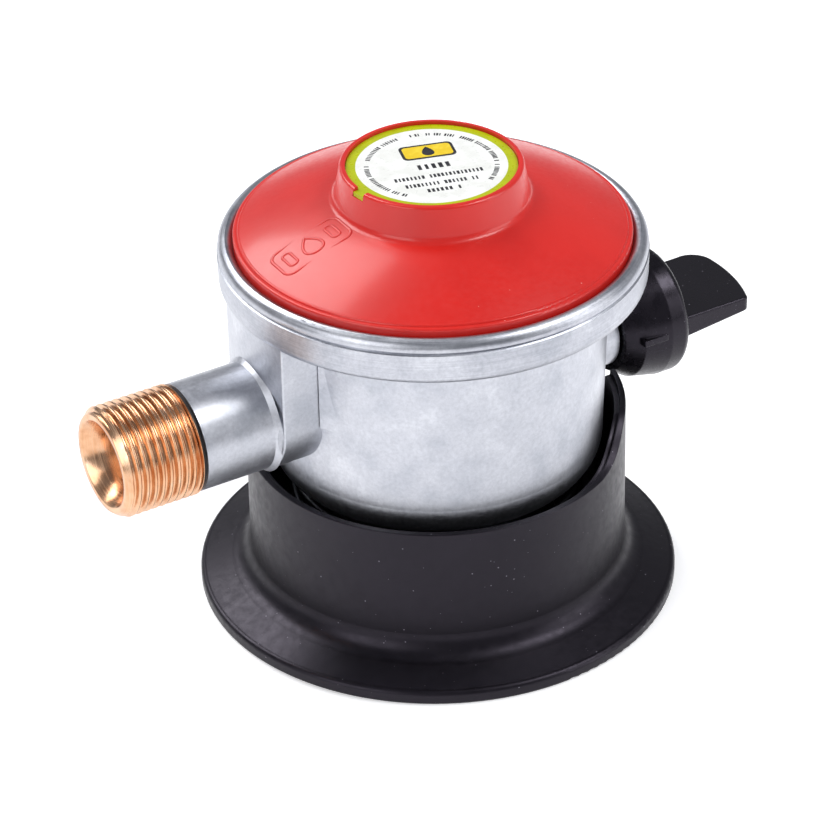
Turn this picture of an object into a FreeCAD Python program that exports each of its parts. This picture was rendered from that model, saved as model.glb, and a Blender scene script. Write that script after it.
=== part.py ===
import FreeCAD, Part

import math
import os

# Clip-on gas cylinder regulator. Millimetres, +Z up. The origin is on the valve socket's axis, in the
# plane that the locking ring stands on. The outlet points along -X and the knob along +X.

V = FreeCAD.Vector
UP = V(0, 0, 1)
ALONG_X = V(1, 0, 0)
ALONG_Y = V(0, 1, 0)
ORIGIN = V(0, 0, 0)

# Fits
RUNNING = 0.05  # radial clearance of a piece that turns or slides
SEATED = 0.02  # radial clearance of a piece that is screwed or pressed home
GAP = 0.10  # gap between faces that meet when the mechanism works
BACKLASH = 0.07  # gap between a lock ball and the ring's cone

# Valve socket, cast in one with the housing
socket_r = 17.7
socket_wall = 3.6
socket_lead = 0.4
socket_top = 24.0
relief_depth = 0.3

# Lock balls
ball_count = 6
ball_r = 2.5
ball_z = 9.0
ball_proud = 0.2  # how far a locked ball stands out of the socket's wall; the rest reaches inside
ball_travel = 1.25

# Locking ring
ring_lift = 4.4
flange_r = 43.5
flange_edge = 2.6
collar_r = 34.1
collar_wall = 2.1
collar_top = 29.4
ledge_drop = 1.0
ledge_width = 1.0
collar_edge_round = 0.35
horn_top = 35.6
horn_full_angle = 36.0
horn_start_angle = 62.0
web_top = 5.0
hub_top = 14.0
hub_wall = 2.85
underside_depth = 1.9
rib_count = 12
rib_width = 1.4

# Snap ring that holds the locking ring on the socket
clip_z = 2.7
clip_thick = 1.2
clip_groove = 0.8
clip_opening = 7.0
ring_wire_r = 0.7
ring_play = 0.7  # between the ring's hub and the spring's inside
ring_turns = 5

# Housing
wall_low_r = 30.0
wall_top_r = 30.9
wall_top_z = 59.7
shoulder_z = 25.2
shoulder_round = 3.4
shoulder_rise = 6.4
cavity_r = 28.2
cavity_floor = 30.0
rim_under_z = 62.1
rim_r = 37.8
rim_top = 70.5
rim_groove = 0.45
lip_r = 35.0
lip_thick = 1.6

# Cover and diaphragm clamp
cover_r = 36.0
cover_edge = 1.7
bead_thick = 1.3
web_thick = 1.0
cover_wall = 2.0
boss_foot_r = 17.1
boss_foot_z = 78.0
boss_top_r = 16.0
boss_top_z = 84.0
label_r = 14.9
label_thick = 0.8
label_drop = 0.6
tab_width = 2.6
tab_angle = 187.0

breather_r = 0.7
breather_ring = 20.0
breather_angle = 59.0

# Adjuster and main spring
adjuster_r = 13.9
adjuster_thick = 4.0
hex_across = 10.0
hex_depth = 2.6
main_spring_r = 9.5
main_wire_r = 0.9
main_turns = 3

# Diaphragm stack
stem_disc_r = 14.0
stem_disc_thick = 1.0
spindle_r = 3.0
plate_r = 20.0
plate_thick = 1.0
nut_across = 8.0
nut_thick = 2.2
roll_in_r = 20.8
roll_out_r = 27.8
roll_depth = 2.0
stem_half_x = 3.5
stem_half_y = 2.2

# Lever
lever_z = 57.0
pivot_y = 8.5
pad_y = 14.0
lever_thick = 1.4
lever_width = 8.4
lever_tip_r = 1.1
tip_half_width = 2.0
lever_pin_r = 1.0
hub_r = 2.0
pad_r = 3.2
pad_thick = 1.8
pad_gap = 1.1

# Bracket that carries the lever, and its screws
bracket_thick = 1.2
bracket_half_width = 6.6
ear_reach = 2.5
screw_r = 1.2
screw_depth = 3.4
screw_head_r = 2.2
screw_head_thick = 1.6
screw_back_y = -6.2
screw_front_y = 3.6

# Nozzle and gas passage
nozzle_rim_r = 1.4
nozzle_orifice_r = 0.9
nozzle_r = 3.4
nozzle_thread_r = 2.4
riser_r = 4.5
riser_top = 50.5
passage_r = 1.8
plug_r = 2.2
passage_z = 26.6

# Inlet spigot
spigot_r = 5.2
spigot_thread_r = 6.0
spigot_flange_r = 9.0
spigot_flange_thick = 2.0
spigot_nose_z = 8.0
spigot_top = 30.5
spigot_bore_r = 2.6
gasket_thick = 0.8
nose_groove_r = 4.0
nose_seal_z = 11.5
nose_seal_section = 0.85
pin_seal_z = 29.2
pin_groove_r = 2.9
pin_seal_section = 0.6

# Push pin
pin_r = 1.6
pin_head_r = 3.4
pin_head_thick = 1.5
pin_tip_z = 11.0
pin_travel = 2.5
pin_wire_r = 0.25
pin_turns = 4
pin_spring_r = 2.4

# Knob shaft, its cam and its boss
shaft_z = 40.0
shaft_r = 5.0
shaft_inner_x = -4.5
shaft_tail_r = 2.0
shaft_tail = 3.5
cam_half_length = 4.0
cam_low = 2.0  # from the axis to the pin's face when the valve is shut
boss_r = 7.5
boss_end_x = 34.6
tower_r = 9.5
tower_top = 48.5
lock_pin_r = 0.9
lock_pin_x = 32.6
lock_pin_length = 10.4
shaft_flat = 1.0  # depth of the flat that drives the knob
shaft_seal_x = 26.0
seal_section_r = 0.7

# Knob
knob_back_x = 35.0
knob_back_r = 8.8
knob_step_x = 38.2
knob_step_r = 10.9
knob_r = 12.0
knob_full_x = 43.2
knob_rim_x = 46.0
knob_face_x = 47.4
knob_face_r = 10.6
shaft_end_x = 45.0
blade_top_z = 42.0
blade_half_width = 9.6
blade_tip_x = 64.0
blade_root_thick = 4.7
blade_tip_thick = 2.4
blade_edge_round = 0.4
rib_z = 40.3
rib_thick = 1.1

# Outlet
tube_z = 45.2
tube_r = 9.7
tube_end = 51.0
nipple_start = 51.8
nipple_end = 66.4
thread_r = 10.0
tail_r = 7.0
tail_depth = 13.0
outlet_bore_r = 5.5
cast_bore_r = 5.0
cone_mouth_r = 7.9
cone_depth = 4.2
end_chamfer = 1.2
seal_r = 9.2
side_r = 37.2
side_shift = -1.5  # of the outer face's centre, towards the near side
side_near_y = -9.9
side_far_y = 24.0
side_far_round = 6.0
side_edge_round = 0.4
facet_out = 29.35  # flat strip beside the near face, from here
facet_in = 26.95  # to here on the wall
facet_width = 4.25
root_collar = 0.35


def edges_of(points):
    """Edges through points; an item holding two points is an arc through the first to the second."""
    edges = []
    last = points[0]
    for item in points[1:]:
        if isinstance(item, tuple):
            edges.append(Part.Arc(last, item[0], item[1]).toShape())
            last = item[1]
        else:
            edges.append(Part.LineSegment(last, item).toShape())
            last = item
    if last.distanceToPoint(points[0]) > 1e-7:
        edges.append(Part.LineSegment(last, points[0]).toShape())
    return edges


def rz(r, z):
    """A point of a profile that is turned about the Z axis."""
    return V(r, 0, z)


def turned(points, centre=ORIGIN, axis=UP):
    """A solid of revolution from a closed profile."""
    face = Part.Face(Part.Wire(edges_of(points)))
    return face.revolve(centre, axis, 360)


def extruded(points, along):
    """A prism from a closed outline."""
    return Part.Face(Part.Wire(edges_of(points))).extrude(along)


def rod(radius, start, end):
    """A round bar between two points."""
    along = end - start
    return Part.makeCylinder(radius, along.Length, start, along)


def tube(outer, inner, low, high):
    """A plain ring about the Z axis."""
    return rod(outer, V(0, 0, low), V(0, 0, high)).cut(rod(inner, V(0, 0, low - 1), V(0, 0, high + 1)))


def block(low, high):
    """A box from its lowest corner to its highest."""
    size = high - low
    return Part.makeBox(size.x, size.y, size.z, low)


def hexagon(across, low, high, x=0.0, y=0.0):
    """A six-sided prism about a vertical axis."""
    corner = across / math.sqrt(3)
    points = []
    for i in range(6):
        turn = math.radians(60 * i)
        points.append(V(x + corner * math.cos(turn), y + corner * math.sin(turn), low))
    return extruded(points, V(0, 0, high - low))


def torus(ring, section, centre=ORIGIN, axis=UP):
    """A round seal ring."""
    return Part.makeTorus(ring, section, centre, axis)


def coil(mean, wire, low, high, turns):
    """An open coil spring between two levels, its wire's outside touching neither."""
    rise = high - low - 2 * wire - 2 * SEATED
    helix = Part.makeHelix(rise / turns, rise, mean)
    circle = Part.Wire(Part.makeCircle(wire, V(mean, 0, 0), ALONG_Y))
    body = Part.Wire(helix.Edges).makePipeShell([circle], True, True)
    return body.translated(V(0, 0, low + wire + SEATED))


# Derived levels and radii
socket_outer = socket_r + socket_wall
relief_low = ball_z - ball_r - 0.5
relief_high = ball_z + ball_r + 0.5
ball_centre = socket_outer + ball_proud - ball_r
ball_hole = ball_r + RUNNING
land_r = socket_outer + ball_proud + RUNNING
cone_slope = ball_travel / ring_lift
cone_start_r = ball_centre + (ball_r + BACKLASH) * math.sqrt(1 + cone_slope**2)
clip_top = clip_z + clip_thick
counterbore_top = clip_top + GAP
counterbore_r = cone_start_r + cone_slope * (ball_z - counterbore_top) + 0.6
clip_outer = counterbore_r - 0.3
hub_outer = land_r + hub_wall
ring_coil_r = hub_outer + ring_play + ring_wire_r
collar_inner = collar_r - collar_wall
ledge_z = rim_top - lip_thick - cover_edge - bead_thick
bead_top = ledge_z + bead_thick
web_low = bead_top - web_thick
stem_disc_low = web_low - stem_disc_thick
plate_top = bead_top + plate_thick
label_top = boss_top_z - label_drop
label_seat = label_top - label_thick
adjuster_top = label_seat - 1.1
adjuster_low = adjuster_top - adjuster_thick
pin_top = shaft_z - cam_low - GAP / 2
pin_head_low = pin_top - pin_head_thick
shaft_bore = shaft_r + RUNNING
groove_r = shaft_r - 1.45
pad_low = lever_z - lever_thick / 2 - 0.9 - pad_thick / 2 - 0.1
nozzle_top = pad_low - pad_gap
tail_end = nipple_start - tail_depth
wall_low_z = shoulder_z + shoulder_rise
rim_mid = (rim_under_z + rim_top) / 2


def outlet_side():
    """The thicker side behind the outlet: flat near face, round underside, outer edges eased."""
    low = tube_z + side_near_y
    slant = V(0, -math.sqrt(0.5), -math.sqrt(0.5))
    far = V(0, side_far_y, low + side_far_round)
    side = extruded([
        V(0, side_near_y, rim_top),
        V(0, side_near_y, tube_z),
        (V(0, 0, tube_z) - slant * side_near_y, V(0, 0, low)),
        V(0, far.y, low),
        (far + V(0, -slant.y, slant.z) * side_far_round, V(0, side_far_y, far.z)),
        V(0, side_far_y, rim_top),
    ], V(-rim_r, 0, 0))
    centre = V(0, side_shift, 0)
    side = side.common(rod(side_r, centre, centre + UP * rim_top))
    outer = [e for e in side.Edges if edge_is_at(e, side_r, centre)]
    side = side.makeFillet(side_edge_round, outer)
    facet = extruded([
        V(-facet_out, side_near_y - 0.2, tube_z),
        V(-facet_in, side_near_y - facet_width, tube_z),
        V(-facet_in + 3, side_near_y, tube_z),
    ], V(0, 0, rim_mid - tube_z))
    collar_x = side_r - root_collar
    collar = Part.makeCone(tube_r + 2 * root_collar, tube_r, 3 * root_collar, V(-collar_x, 0, tube_z), -ALONG_X)
    collar = collar.common(block(V(-tube_end, side_near_y, low), V(0, side_far_y, rim_under_z)))
    return side.common(rod(rim_r, ORIGIN, V(0, 0, rim_mid))).fuse([facet, collar])


def edge_is_at(edge, radius, centre):
    """Whether a whole edge lies at a radius from a line along Z, below the rim's top."""
    points = [p - centre for p in edge.discretize(5)]
    if min(p.z for p in points) > rim_top - GAP:
        return False
    return all(abs(math.hypot(p.x, p.y) - radius) < 0.001 for p in points)


def body_casting():
    """Die-cast housing: valve socket, chamber, crimped rim, outlet tube and shaft boss in one piece."""
    lip = rim_top - lip_thick
    outside = turned([
        rz(0, 0),
        rz(socket_outer, 0),
        rz(socket_outer, shoulder_z),
        rz(wall_low_r - shoulder_round, shoulder_z),
        (rz(wall_low_r - 0.28 * shoulder_round, shoulder_z + 0.36 * shoulder_rise),
         rz(wall_low_r, wall_low_z)),
        rz(wall_top_r, wall_top_z),
        (rz(wall_top_r + 0.75, rim_under_z - 0.7), rz(wall_top_r + 2.6, rim_under_z - 0.1)),
        rz(rim_r - 1.6, rim_under_z),
        (rz(rim_r - 0.5, rim_under_z + 0.5), rz(rim_r - 0.1, rim_under_z + 1.6)),
        rz(rim_r, rim_mid + 1.6),
        rz(rim_r - rim_groove, rim_mid + 1.9),
        rz(rim_r - 0.1, rim_mid + 2.2),
        (rz(rim_r - 0.55, rim_top - 0.6), rz(rim_r - 1.5, rim_top)),
        (rz(lip_r + 0.6, rim_top - 0.2), rz(lip_r + 0.1, rim_top - 0.8)),
        rz(lip_r, rim_top - 0.9),
        rz(lip_r, lip),
        rz(0, lip),
    ])
    outlet = rod(tube_r, V(-tube_end, 0, tube_z), V(-cavity_r, 0, tube_z))
    boss = rod(boss_r, V(cavity_r, 0, shaft_z), V(boss_end_x, 0, shaft_z))
    spring_seat = rod(ring_coil_r + ring_wire_r, V(0, 0, shoulder_z), V(0, 0, cavity_floor))
    shell = outside.fuse([outlet_side(), outlet, boss, spring_seat]).removeSplitter()

    cavity = turned([
        rz(0, cavity_floor),
        rz(cavity_r - 2, cavity_floor),
        (rz(cavity_r - 0.6, cavity_floor + 0.6), rz(cavity_r, cavity_floor + 2)),
        rz(cavity_r, ledge_z),
        rz(cover_r + SEATED, ledge_z),
        rz(cover_r + SEATED, lip),
        rz(lip_r, lip),
        rz(lip_r, rim_top + 1),
        rz(0, rim_top + 1),
    ])
    shell = shell.cut(cavity)

    tower = rod(tower_r, V(0, 0, cavity_floor - 1), V(0, 0, tower_top))
    tunnel = rod(boss_r, V(0, 0, shaft_z), V(cavity_r + 1, 0, shaft_z))
    riser = rod(riser_r, V(0, pad_y, cavity_floor - 1), V(0, pad_y, riser_top))
    shell = shell.fuse([tower, tunnel, riser])

    socket = turned([
        rz(0, -1),
        rz(socket_r + socket_lead, -1),
        rz(socket_r + socket_lead, 0),
        rz(socket_r, socket_lead),
        rz(socket_r, relief_low),
        rz(socket_r + relief_depth, relief_low + relief_depth),
        rz(socket_r + relief_depth, relief_high - relief_depth),
        rz(socket_r, relief_high),
        rz(socket_r, socket_top),
        rz(0, socket_top),
    ])
    clip_groove_ring = tube(socket_outer + 1, socket_outer - clip_groove,
                            clip_z - GAP / 2, clip_top + GAP / 2)
    cuts = [socket, clip_groove_ring]
    for x, y in ball_directions():
        away = V(x, y, 0)
        inner, outer = away * (socket_r - 2), away * (socket_outer + 2)
        cuts.append(rod(ball_hole, inner + UP * ball_z, outer + UP * ball_z))

    # Inlet bores, the drilled passage with its plug seat, and the riser to the nozzle
    cuts += [
        rod(spigot_thread_r + SEATED, V(0, 0, socket_top - 1), V(0, 0, spigot_top + SEATED)),
        rod(pin_head_r + RUNNING, V(0, 0, spigot_top - 1), V(0, 0, shaft_z)),
        tube(spigot_thread_r + 1, spigot_thread_r - 1, passage_z - 1.2, passage_z + 1.2),
        rod(passage_r, V(0, spigot_thread_r, passage_z), V(0, socket_outer + 1, passage_z)),
        rod(plug_r + SEATED, V(0, socket_outer - 2 * plug_r, passage_z),
            V(0, socket_outer + 1, passage_z)),
        rod(passage_r, V(0, pad_y, passage_z), V(0, pad_y, riser_top + 1)),
        rod(nozzle_thread_r + SEATED, V(0, pad_y, riser_top - 6), V(0, pad_y, riser_top + 1)),
    ]
    # Shaft bore with its blind tail bearing, and the hole for the locking pin
    cuts += [
        rod(shaft_bore, V(shaft_inner_x - 0.2, 0, shaft_z), V(boss_end_x + 1, 0, shaft_z)),
        rod(shaft_tail_r + RUNNING, V(shaft_inner_x - shaft_tail - 0.3, 0, shaft_z), V(0, 0, shaft_z)),
        rod(lock_pin_r + SEATED, V(lock_pin_x, shaft_r, shaft_z - boss_r),
            V(lock_pin_x, shaft_r, shaft_z + boss_r)),
    ]
    # Outlet passage and the seat of the nipple's tail
    cuts += [
        rod(cast_bore_r, V(-tube_end - 1, 0, tube_z), V(-cavity_r + 2, 0, tube_z)),
        rod(tail_r + SEATED, V(-tube_end - 1, 0, tube_z), V(-tail_end + SEATED, 0, tube_z)),
    ]
    for x, y in screw_places():
        cuts.append(rod(screw_r + SEATED, V(x, y, tower_top - screw_depth - 0.3), V(x, y, tower_top + 1)))
    return shell.cut(cuts)


def ball_directions():
    """Unit directions of the lock balls."""
    turns = [math.radians(30 + 360 / ball_count * i) for i in range(ball_count)]
    return [(math.cos(t), math.sin(t)) for t in turns]


def lock_ball(x, y):
    """One hardened steel ball, centred in its hole."""
    return Part.makeSphere(ball_r, V(x, y, 0) * ball_centre + V(0, 0, ball_z))


def locking_ring():
    """Moulded ring with flange, collar and horns; its inner cone frees the balls when it is lifted."""
    skin = turned([
        rz(counterbore_r, 0),
        rz(flange_r - 0.5, 0),
        (rz(flange_r - 0.15, 0.15), rz(flange_r, 0.5)),
        rz(flange_r, flange_edge - 0.8),
        (rz(flange_r - 0.25, flange_edge - 0.25), rz(flange_r - 0.9, flange_edge)),
        rz(collar_r + 3.6, web_top - 0.7),
        (rz(collar_r + 1.15, web_top + 0.7), rz(collar_r + 0.1, web_top + 3.4)),
        rz(collar_r, horn_top),
        rz(collar_inner, horn_top),
        rz(collar_inner, web_top),
        rz(hub_outer + 0.4, web_top),
        rz(hub_outer, web_top + 0.4),
        rz(hub_outer, hub_top - 0.5),
        rz(hub_outer - 0.5, hub_top),
        rz(land_r + 0.6, hub_top),
        rz(land_r, hub_top - 0.6),
        rz(land_r, ball_z + 0.4),
        rz(cone_start_r, ball_z),
        rz(counterbore_r - 0.6, counterbore_top),
        rz(counterbore_r, counterbore_top),
    ])
    skin = skin.cut(above_collar())
    notch_r = boss_r + 1.1
    notch_z = shaft_z - boss_r - ring_lift - 0.3 + notch_r
    slot = rod(notch_r, V(collar_inner - 4, 0, notch_z), V(collar_r + 2, 0, notch_z))
    slot = slot.fuse(block(V(collar_inner - 4, -notch_r, notch_z), V(collar_r + 2, notch_r, horn_top + 2)))
    skin = skin.cut(slot)
    # Hollow underside with radial ribs
    pocket = tube(flange_r - 2.2, hub_outer + 2.6, -1, underside_depth)
    for i in range(rib_count):
        rib = block(V(hub_outer, -rib_width / 2, -2), V(flange_r, rib_width / 2, underside_depth + 1))
        rib.rotate(ORIGIN, UP, 360 / rib_count * (i + 0.5))
        pocket = pocket.cut(rib)
    skin = skin.cut(pocket).removeSplitter().Solids[0]
    top = [e for e in skin.Edges if e.BoundBox.ZMin > collar_top - GAP and edge_is_at(e, collar_r, ORIGIN)]
    return skin.makeFillet(collar_edge_round, top)


def above_collar():
    """The space over the collar: flat at its low edge, swept up to the horns beside the shaft boss."""
    foot = collar_r * math.sin(math.radians(horn_start_angle))
    head = collar_r * math.sin(math.radians(horn_full_angle))
    middle = (foot + head) / 2
    half = (collar_top + horn_top) / 2
    sag = 0.16 * (horn_top - collar_top)
    reach = flange_r + 5
    front = collar_r * math.cos(math.radians(horn_start_angle)) / 2

    def sweep(side):
        return [
            V(front, side * foot, collar_top),
            V(front, side * (foot + middle) / 2, collar_top + sag),
            V(front, side * middle, half),
            V(front, side * (middle + head) / 2, horn_top - sag),
            V(front, side * head, horn_top),
        ]

    right, left = sweep(-1), sweep(1)
    swept = extruded([
        V(front, -reach, horn_top + 5),
        V(front, -reach, collar_top),
        right[0],
        (right[1], right[2]),
        (right[3], right[4]),
        left[4],
        (left[3], left[2]),
        (left[1], left[0]),
        V(front, reach, collar_top),
        V(front, reach, horn_top + 5),
    ], V(reach, 0, 0))
    flat = block(V(-reach, -reach, collar_top), V(front, reach, horn_top + 5))
    above = swept.fuse(flat)
    inner = rod(collar_inner + ledge_width, ORIGIN, V(0, 0, horn_top + 5))
    return above.fuse(above.translated(V(0, 0, -ledge_drop)).common(inner))


def screw_places():
    """Where the two screws of the lever bracket stand."""
    return [(0, screw_back_y), (0, screw_front_y)]


def cover():
    """Pressed cover: flat clamped edge, shallow dome, and the raised boss that holds the adjuster."""
    edge_top = rim_top - lip_thick
    bore = adjuster_r + SEATED
    recess = label_r + GAP
    skirt_r = lip_r - GAP
    skirt_top = rim_top + 1.0
    dome_r = skirt_r - 1.2
    dome_z = skirt_top + 0.35
    inside_r = lip_r - 5.2
    inside_z = bead_top + 3.2
    bore_z = boss_foot_z - cover_wall - 0.6
    shell = turned([
        rz(cover_r, bead_top),
        rz(cover_r, edge_top),
        rz(skirt_r, edge_top),
        rz(skirt_r, skirt_top - 0.45),
        (rz(skirt_r - 0.13, skirt_top - 0.13), rz(skirt_r - 0.45, skirt_top)),
        rz(dome_r + 0.45, skirt_top),
        (rz(dome_r + 0.32, dome_z - 0.1), rz(dome_r, dome_z)),
        (rz((dome_r + boss_foot_r) / 2, (dome_z + boss_foot_z) / 2 + 0.45),
         rz(boss_foot_r + 0.9, boss_foot_z - 0.35)),
        (rz(boss_foot_r + 0.25, boss_foot_z + 0.05), rz(boss_foot_r - 0.1, boss_foot_z + 0.8)),
        rz(boss_top_r + 0.05, boss_top_z - 0.6),
        (rz(boss_top_r - 0.12, boss_top_z - 0.15), rz(boss_top_r - 0.5, boss_top_z)),
        rz(recess, boss_top_z),
        rz(recess, label_seat),
        rz(bore, label_seat),
        rz(bore, bore_z),
        (rz((inside_r + bore) / 2, (inside_z + bore_z) / 2 + 0.9), rz(inside_r, inside_z)),
        rz(inside_r, bead_top),
    ])
    notch = block(V(label_r - 0.5, -tab_width / 2 - GAP, label_seat),
                  V(boss_foot_r, tab_width / 2 + GAP, boss_top_z + 1))
    notch.rotate(ORIGIN, UP, tab_angle)
    turn = math.radians(breather_angle)
    place = V(math.cos(turn), math.sin(turn), 0) * breather_ring
    breather = rod(breather_r, place + V(0, 0, bead_top), place + V(0, 0, boss_top_z))
    return shell.cut([notch, breather])


def label_disc():
    """Printed disc over the adjuster, with a tab in the notch of the boss."""
    disc = rod(label_r, V(0, 0, label_seat), V(0, 0, label_top))
    tab = block(V(label_r - 1, -tab_width / 2, label_seat), V(boss_top_r, tab_width / 2, label_top))
    tab.rotate(ORIGIN, UP, tab_angle)
    return disc.fuse(tab)


def adjuster_screw():
    """Threaded disc that sets the main spring's load; set at the factory under the label."""
    disc = rod(adjuster_r, V(0, 0, adjuster_low), V(0, 0, adjuster_top))
    pilot = rod(main_spring_r - main_wire_r - 0.4, V(0, 0, adjuster_low - 1.2), V(0, 0, adjuster_low))
    return disc.fuse(pilot).cut(hexagon(hex_across, adjuster_top - hex_depth, adjuster_top + 1))


def main_spring():
    """Coil spring that loads the diaphragm."""
    return coil(main_spring_r, main_wire_r, plate_top, adjuster_low, main_turns)


def diaphragm():
    """Moulded rubber disc with a clamped bead and one rolled fold."""
    middle = (roll_in_r + roll_out_r) / 2
    return turned([
        rz(spindle_r + SEATED, web_low),
        rz(roll_in_r, web_low),
        (rz(middle, web_low - roll_depth), rz(roll_out_r, web_low)),
        rz(lip_r - 5.2, ledge_z),
        rz(cover_r - GAP, ledge_z),
        rz(cover_r - GAP, bead_top),
        rz(roll_out_r, bead_top),
        (rz(middle, bead_top - roll_depth), rz(roll_in_r, bead_top)),
        rz(spindle_r + SEATED, bead_top),
    ])


def diaphragm_plate():
    """Pressed steel plate that spreads the spring's load over the diaphragm."""
    return turned([
        rz(spindle_r + SEATED, bead_top),
        rz(plate_r - 0.6, bead_top),
        rz(plate_r, bead_top + 0.6),
        rz(plate_r, plate_top + 1.4),
        rz(plate_r - plate_thick, plate_top + 1.4),
        rz(plate_r - plate_thick, plate_top),
        rz(spindle_r + SEATED, plate_top),
    ])


def diaphragm_stem():
    """Disc, threaded spindle and slotted foot that the lever's tip sits in."""
    foot_low = lever_z - lever_tip_r - 1.4
    disc = rod(stem_disc_r, V(0, 0, stem_disc_low), V(0, 0, web_low))
    spindle = rod(spindle_r, V(0, 0, web_low), V(0, 0, plate_top + nut_thick + 1.0))
    foot = block(V(-stem_half_x, -stem_half_y, foot_low), V(stem_half_x, stem_half_y, stem_disc_low))
    slack = lever_tip_r + GAP
    window = block(V(-tip_half_width - 0.3, -stem_half_y - 1, lever_z - slack),
                   V(tip_half_width + 0.3, stem_half_y + 1, lever_z + slack))
    return disc.fuse([spindle, foot]).cut(window)


def stem_nut():
    """Hexagon nut that clamps the diaphragm between the plate and the stem."""
    nut = hexagon(nut_across, plate_top, plate_top + nut_thick)
    return nut.cut(rod(spindle_r + SEATED, V(0, 0, plate_top - 1), V(0, 0, plate_top + nut_thick + 1)))


def lever():
    """Cast lever: its tip rides in the stem, its other arm holds the seat pad over the nozzle."""
    low = lever_z - lever_thick / 2
    half = lever_width / 2
    bar = extruded([
        V(-tip_half_width, 0, low),
        V(tip_half_width, 0, low),
        V(tip_half_width, stem_half_y + 1, low),
        V(half, pivot_y - hub_r, low),
        V(half, pad_y, low),
        V(-half, pad_y, low),
        V(-half, pivot_y - hub_r, low),
        V(-tip_half_width, stem_half_y + 1, low),
    ], V(0, 0, lever_thick))
    tip = rod(lever_tip_r, V(-tip_half_width, 0, lever_z), V(tip_half_width, 0, lever_z))
    inner = bracket_half_width - bracket_thick - 0.2
    hub = rod(hub_r, V(-inner, pivot_y, lever_z), V(inner, pivot_y, lever_z))
    cup = rod(pad_r + 0.8, V(0, pad_y, pad_low + 0.6), V(0, pad_y, low + lever_thick))
    seat = rod(pad_r + SEATED, V(0, pad_y, pad_low), V(0, pad_y, pad_low + pad_thick))
    bore = rod(lever_pin_r + RUNNING, V(-inner - 1, pivot_y, lever_z), V(inner + 1, pivot_y, lever_z))
    return bar.fuse([tip, hub, cup]).cut([seat, bore])


def seat_pad():
    """Rubber disc that shuts the nozzle."""
    return rod(pad_r, V(0, pad_y, pad_low), V(0, pad_y, pad_low + pad_thick))


def pivot_bracket():
    """Bent steel bracket: a plate on the tower and two ears for the lever's pin."""
    inner = bracket_half_width - bracket_thick
    plate = block(V(-bracket_half_width, screw_back_y - 2.3, tower_top),
                  V(bracket_half_width, screw_front_y + 2.4, tower_top + bracket_thick))
    shape = plate
    for side in (-1, 1):
        points = [
            V(side * inner, -1, tower_top),
            V(side * inner, screw_front_y + 2.4, tower_top),
            V(side * inner, pivot_y + ear_reach, lever_z - ear_reach),
            V(side * inner, pivot_y + ear_reach, lever_z),
            (V(side * inner, pivot_y, lever_z + ear_reach), V(side * inner, pivot_y - ear_reach, lever_z)),
        ]
        shape = shape.fuse(extruded(points, V(side * bracket_thick, 0, 0)))
    holes = [rod(lever_pin_r + SEATED, V(-10, pivot_y, lever_z), V(10, pivot_y, lever_z))]
    for x, y in screw_places():
        holes.append(rod(screw_r + GAP, V(x, y, tower_top - 1), V(x, y, tower_top + 3)))
    return shape.cut(holes)


def lever_pin():
    """Steel pin that the lever rocks on."""
    half = bracket_half_width + 0.7
    return rod(lever_pin_r, V(-half, pivot_y, lever_z), V(half, pivot_y, lever_z))


def bracket_screws():
    """Two slotted screws that hold the bracket down."""
    seat = tower_top + bracket_thick
    screws = []
    for x, y in screw_places():
        shank = rod(screw_r, V(x, y, tower_top - screw_depth), V(x, y, seat))
        head = rod(screw_head_r, V(x, y, seat), V(x, y, seat + screw_head_thick))
        slot = block(V(x - 3, y - 0.3, seat + screw_head_thick - 0.8),
                     V(x + 3, y + 0.3, seat + screw_head_thick + 1))
        screws.append(shank.fuse(head).cut(slot))
    return Part.makeCompound(screws)


def inlet_nozzle():
    """Brass nozzle that the seat pad shuts."""
    face = riser_top + 1.8
    body = turned([
        V(nozzle_orifice_r, pad_y, riser_top - 5.5),
        V(nozzle_thread_r, pad_y, riser_top - 5.5),
        V(nozzle_thread_r, pad_y, riser_top),
        V(nozzle_r, pad_y, riser_top),
        V(nozzle_r, pad_y, face),
        V(nozzle_rim_r + 0.5, pad_y, face),
        V(nozzle_rim_r, pad_y, nozzle_top),
        V(nozzle_orifice_r, pad_y, nozzle_top),
    ], V(0, pad_y, 0))
    return body


def inlet_spigot():
    """Brass spigot screwed into the socket's roof; it reaches the cylinder valve and guides the pin."""
    flange_low = socket_top - gasket_thick - spigot_flange_thick
    guide_low = passage_z + 1.3
    body = turned([
        rz(spigot_bore_r, spigot_nose_z),
        rz(spigot_r - 0.9, spigot_nose_z),
        rz(spigot_r, spigot_nose_z + 0.9),
        rz(spigot_r, nose_seal_z - nose_seal_section - GAP),
        rz(nose_groove_r, nose_seal_z - nose_seal_section - GAP),
        rz(nose_groove_r, nose_seal_z + nose_seal_section + GAP),
        rz(spigot_r, nose_seal_z + nose_seal_section + GAP),
        rz(spigot_r, flange_low),
        rz(spigot_thread_r, flange_low),
        rz(spigot_thread_r, spigot_top),
        rz(pin_r + RUNNING, spigot_top),
        rz(pin_r + RUNNING, pin_seal_z + pin_seal_section + SEATED),
        rz(pin_groove_r, pin_seal_z + pin_seal_section + SEATED),
        rz(pin_groove_r, pin_seal_z - pin_seal_section - SEATED),
        rz(pin_r + RUNNING, pin_seal_z - pin_seal_section - SEATED),
        rz(pin_r + RUNNING, guide_low),
        rz(spigot_bore_r, guide_low - 0.6),
    ])
    flange = hexagon(2 * spigot_flange_r * 0.9, flange_low, flange_low + spigot_flange_thick)
    flange = flange.cut(rod(spigot_thread_r - 0.2, V(0, 0, flange_low - 1), V(0, 0, socket_top)))
    body = body.fuse(flange)
    ports = []
    for i in range(4):
        turn = math.radians(45 + 90 * i)
        away = V(math.cos(turn), math.sin(turn), 0) * (spigot_thread_r + 1)
        ports.append(rod(0.9, V(0, 0, passage_z), away + V(0, 0, passage_z)))
    return body.cut(ports)


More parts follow.
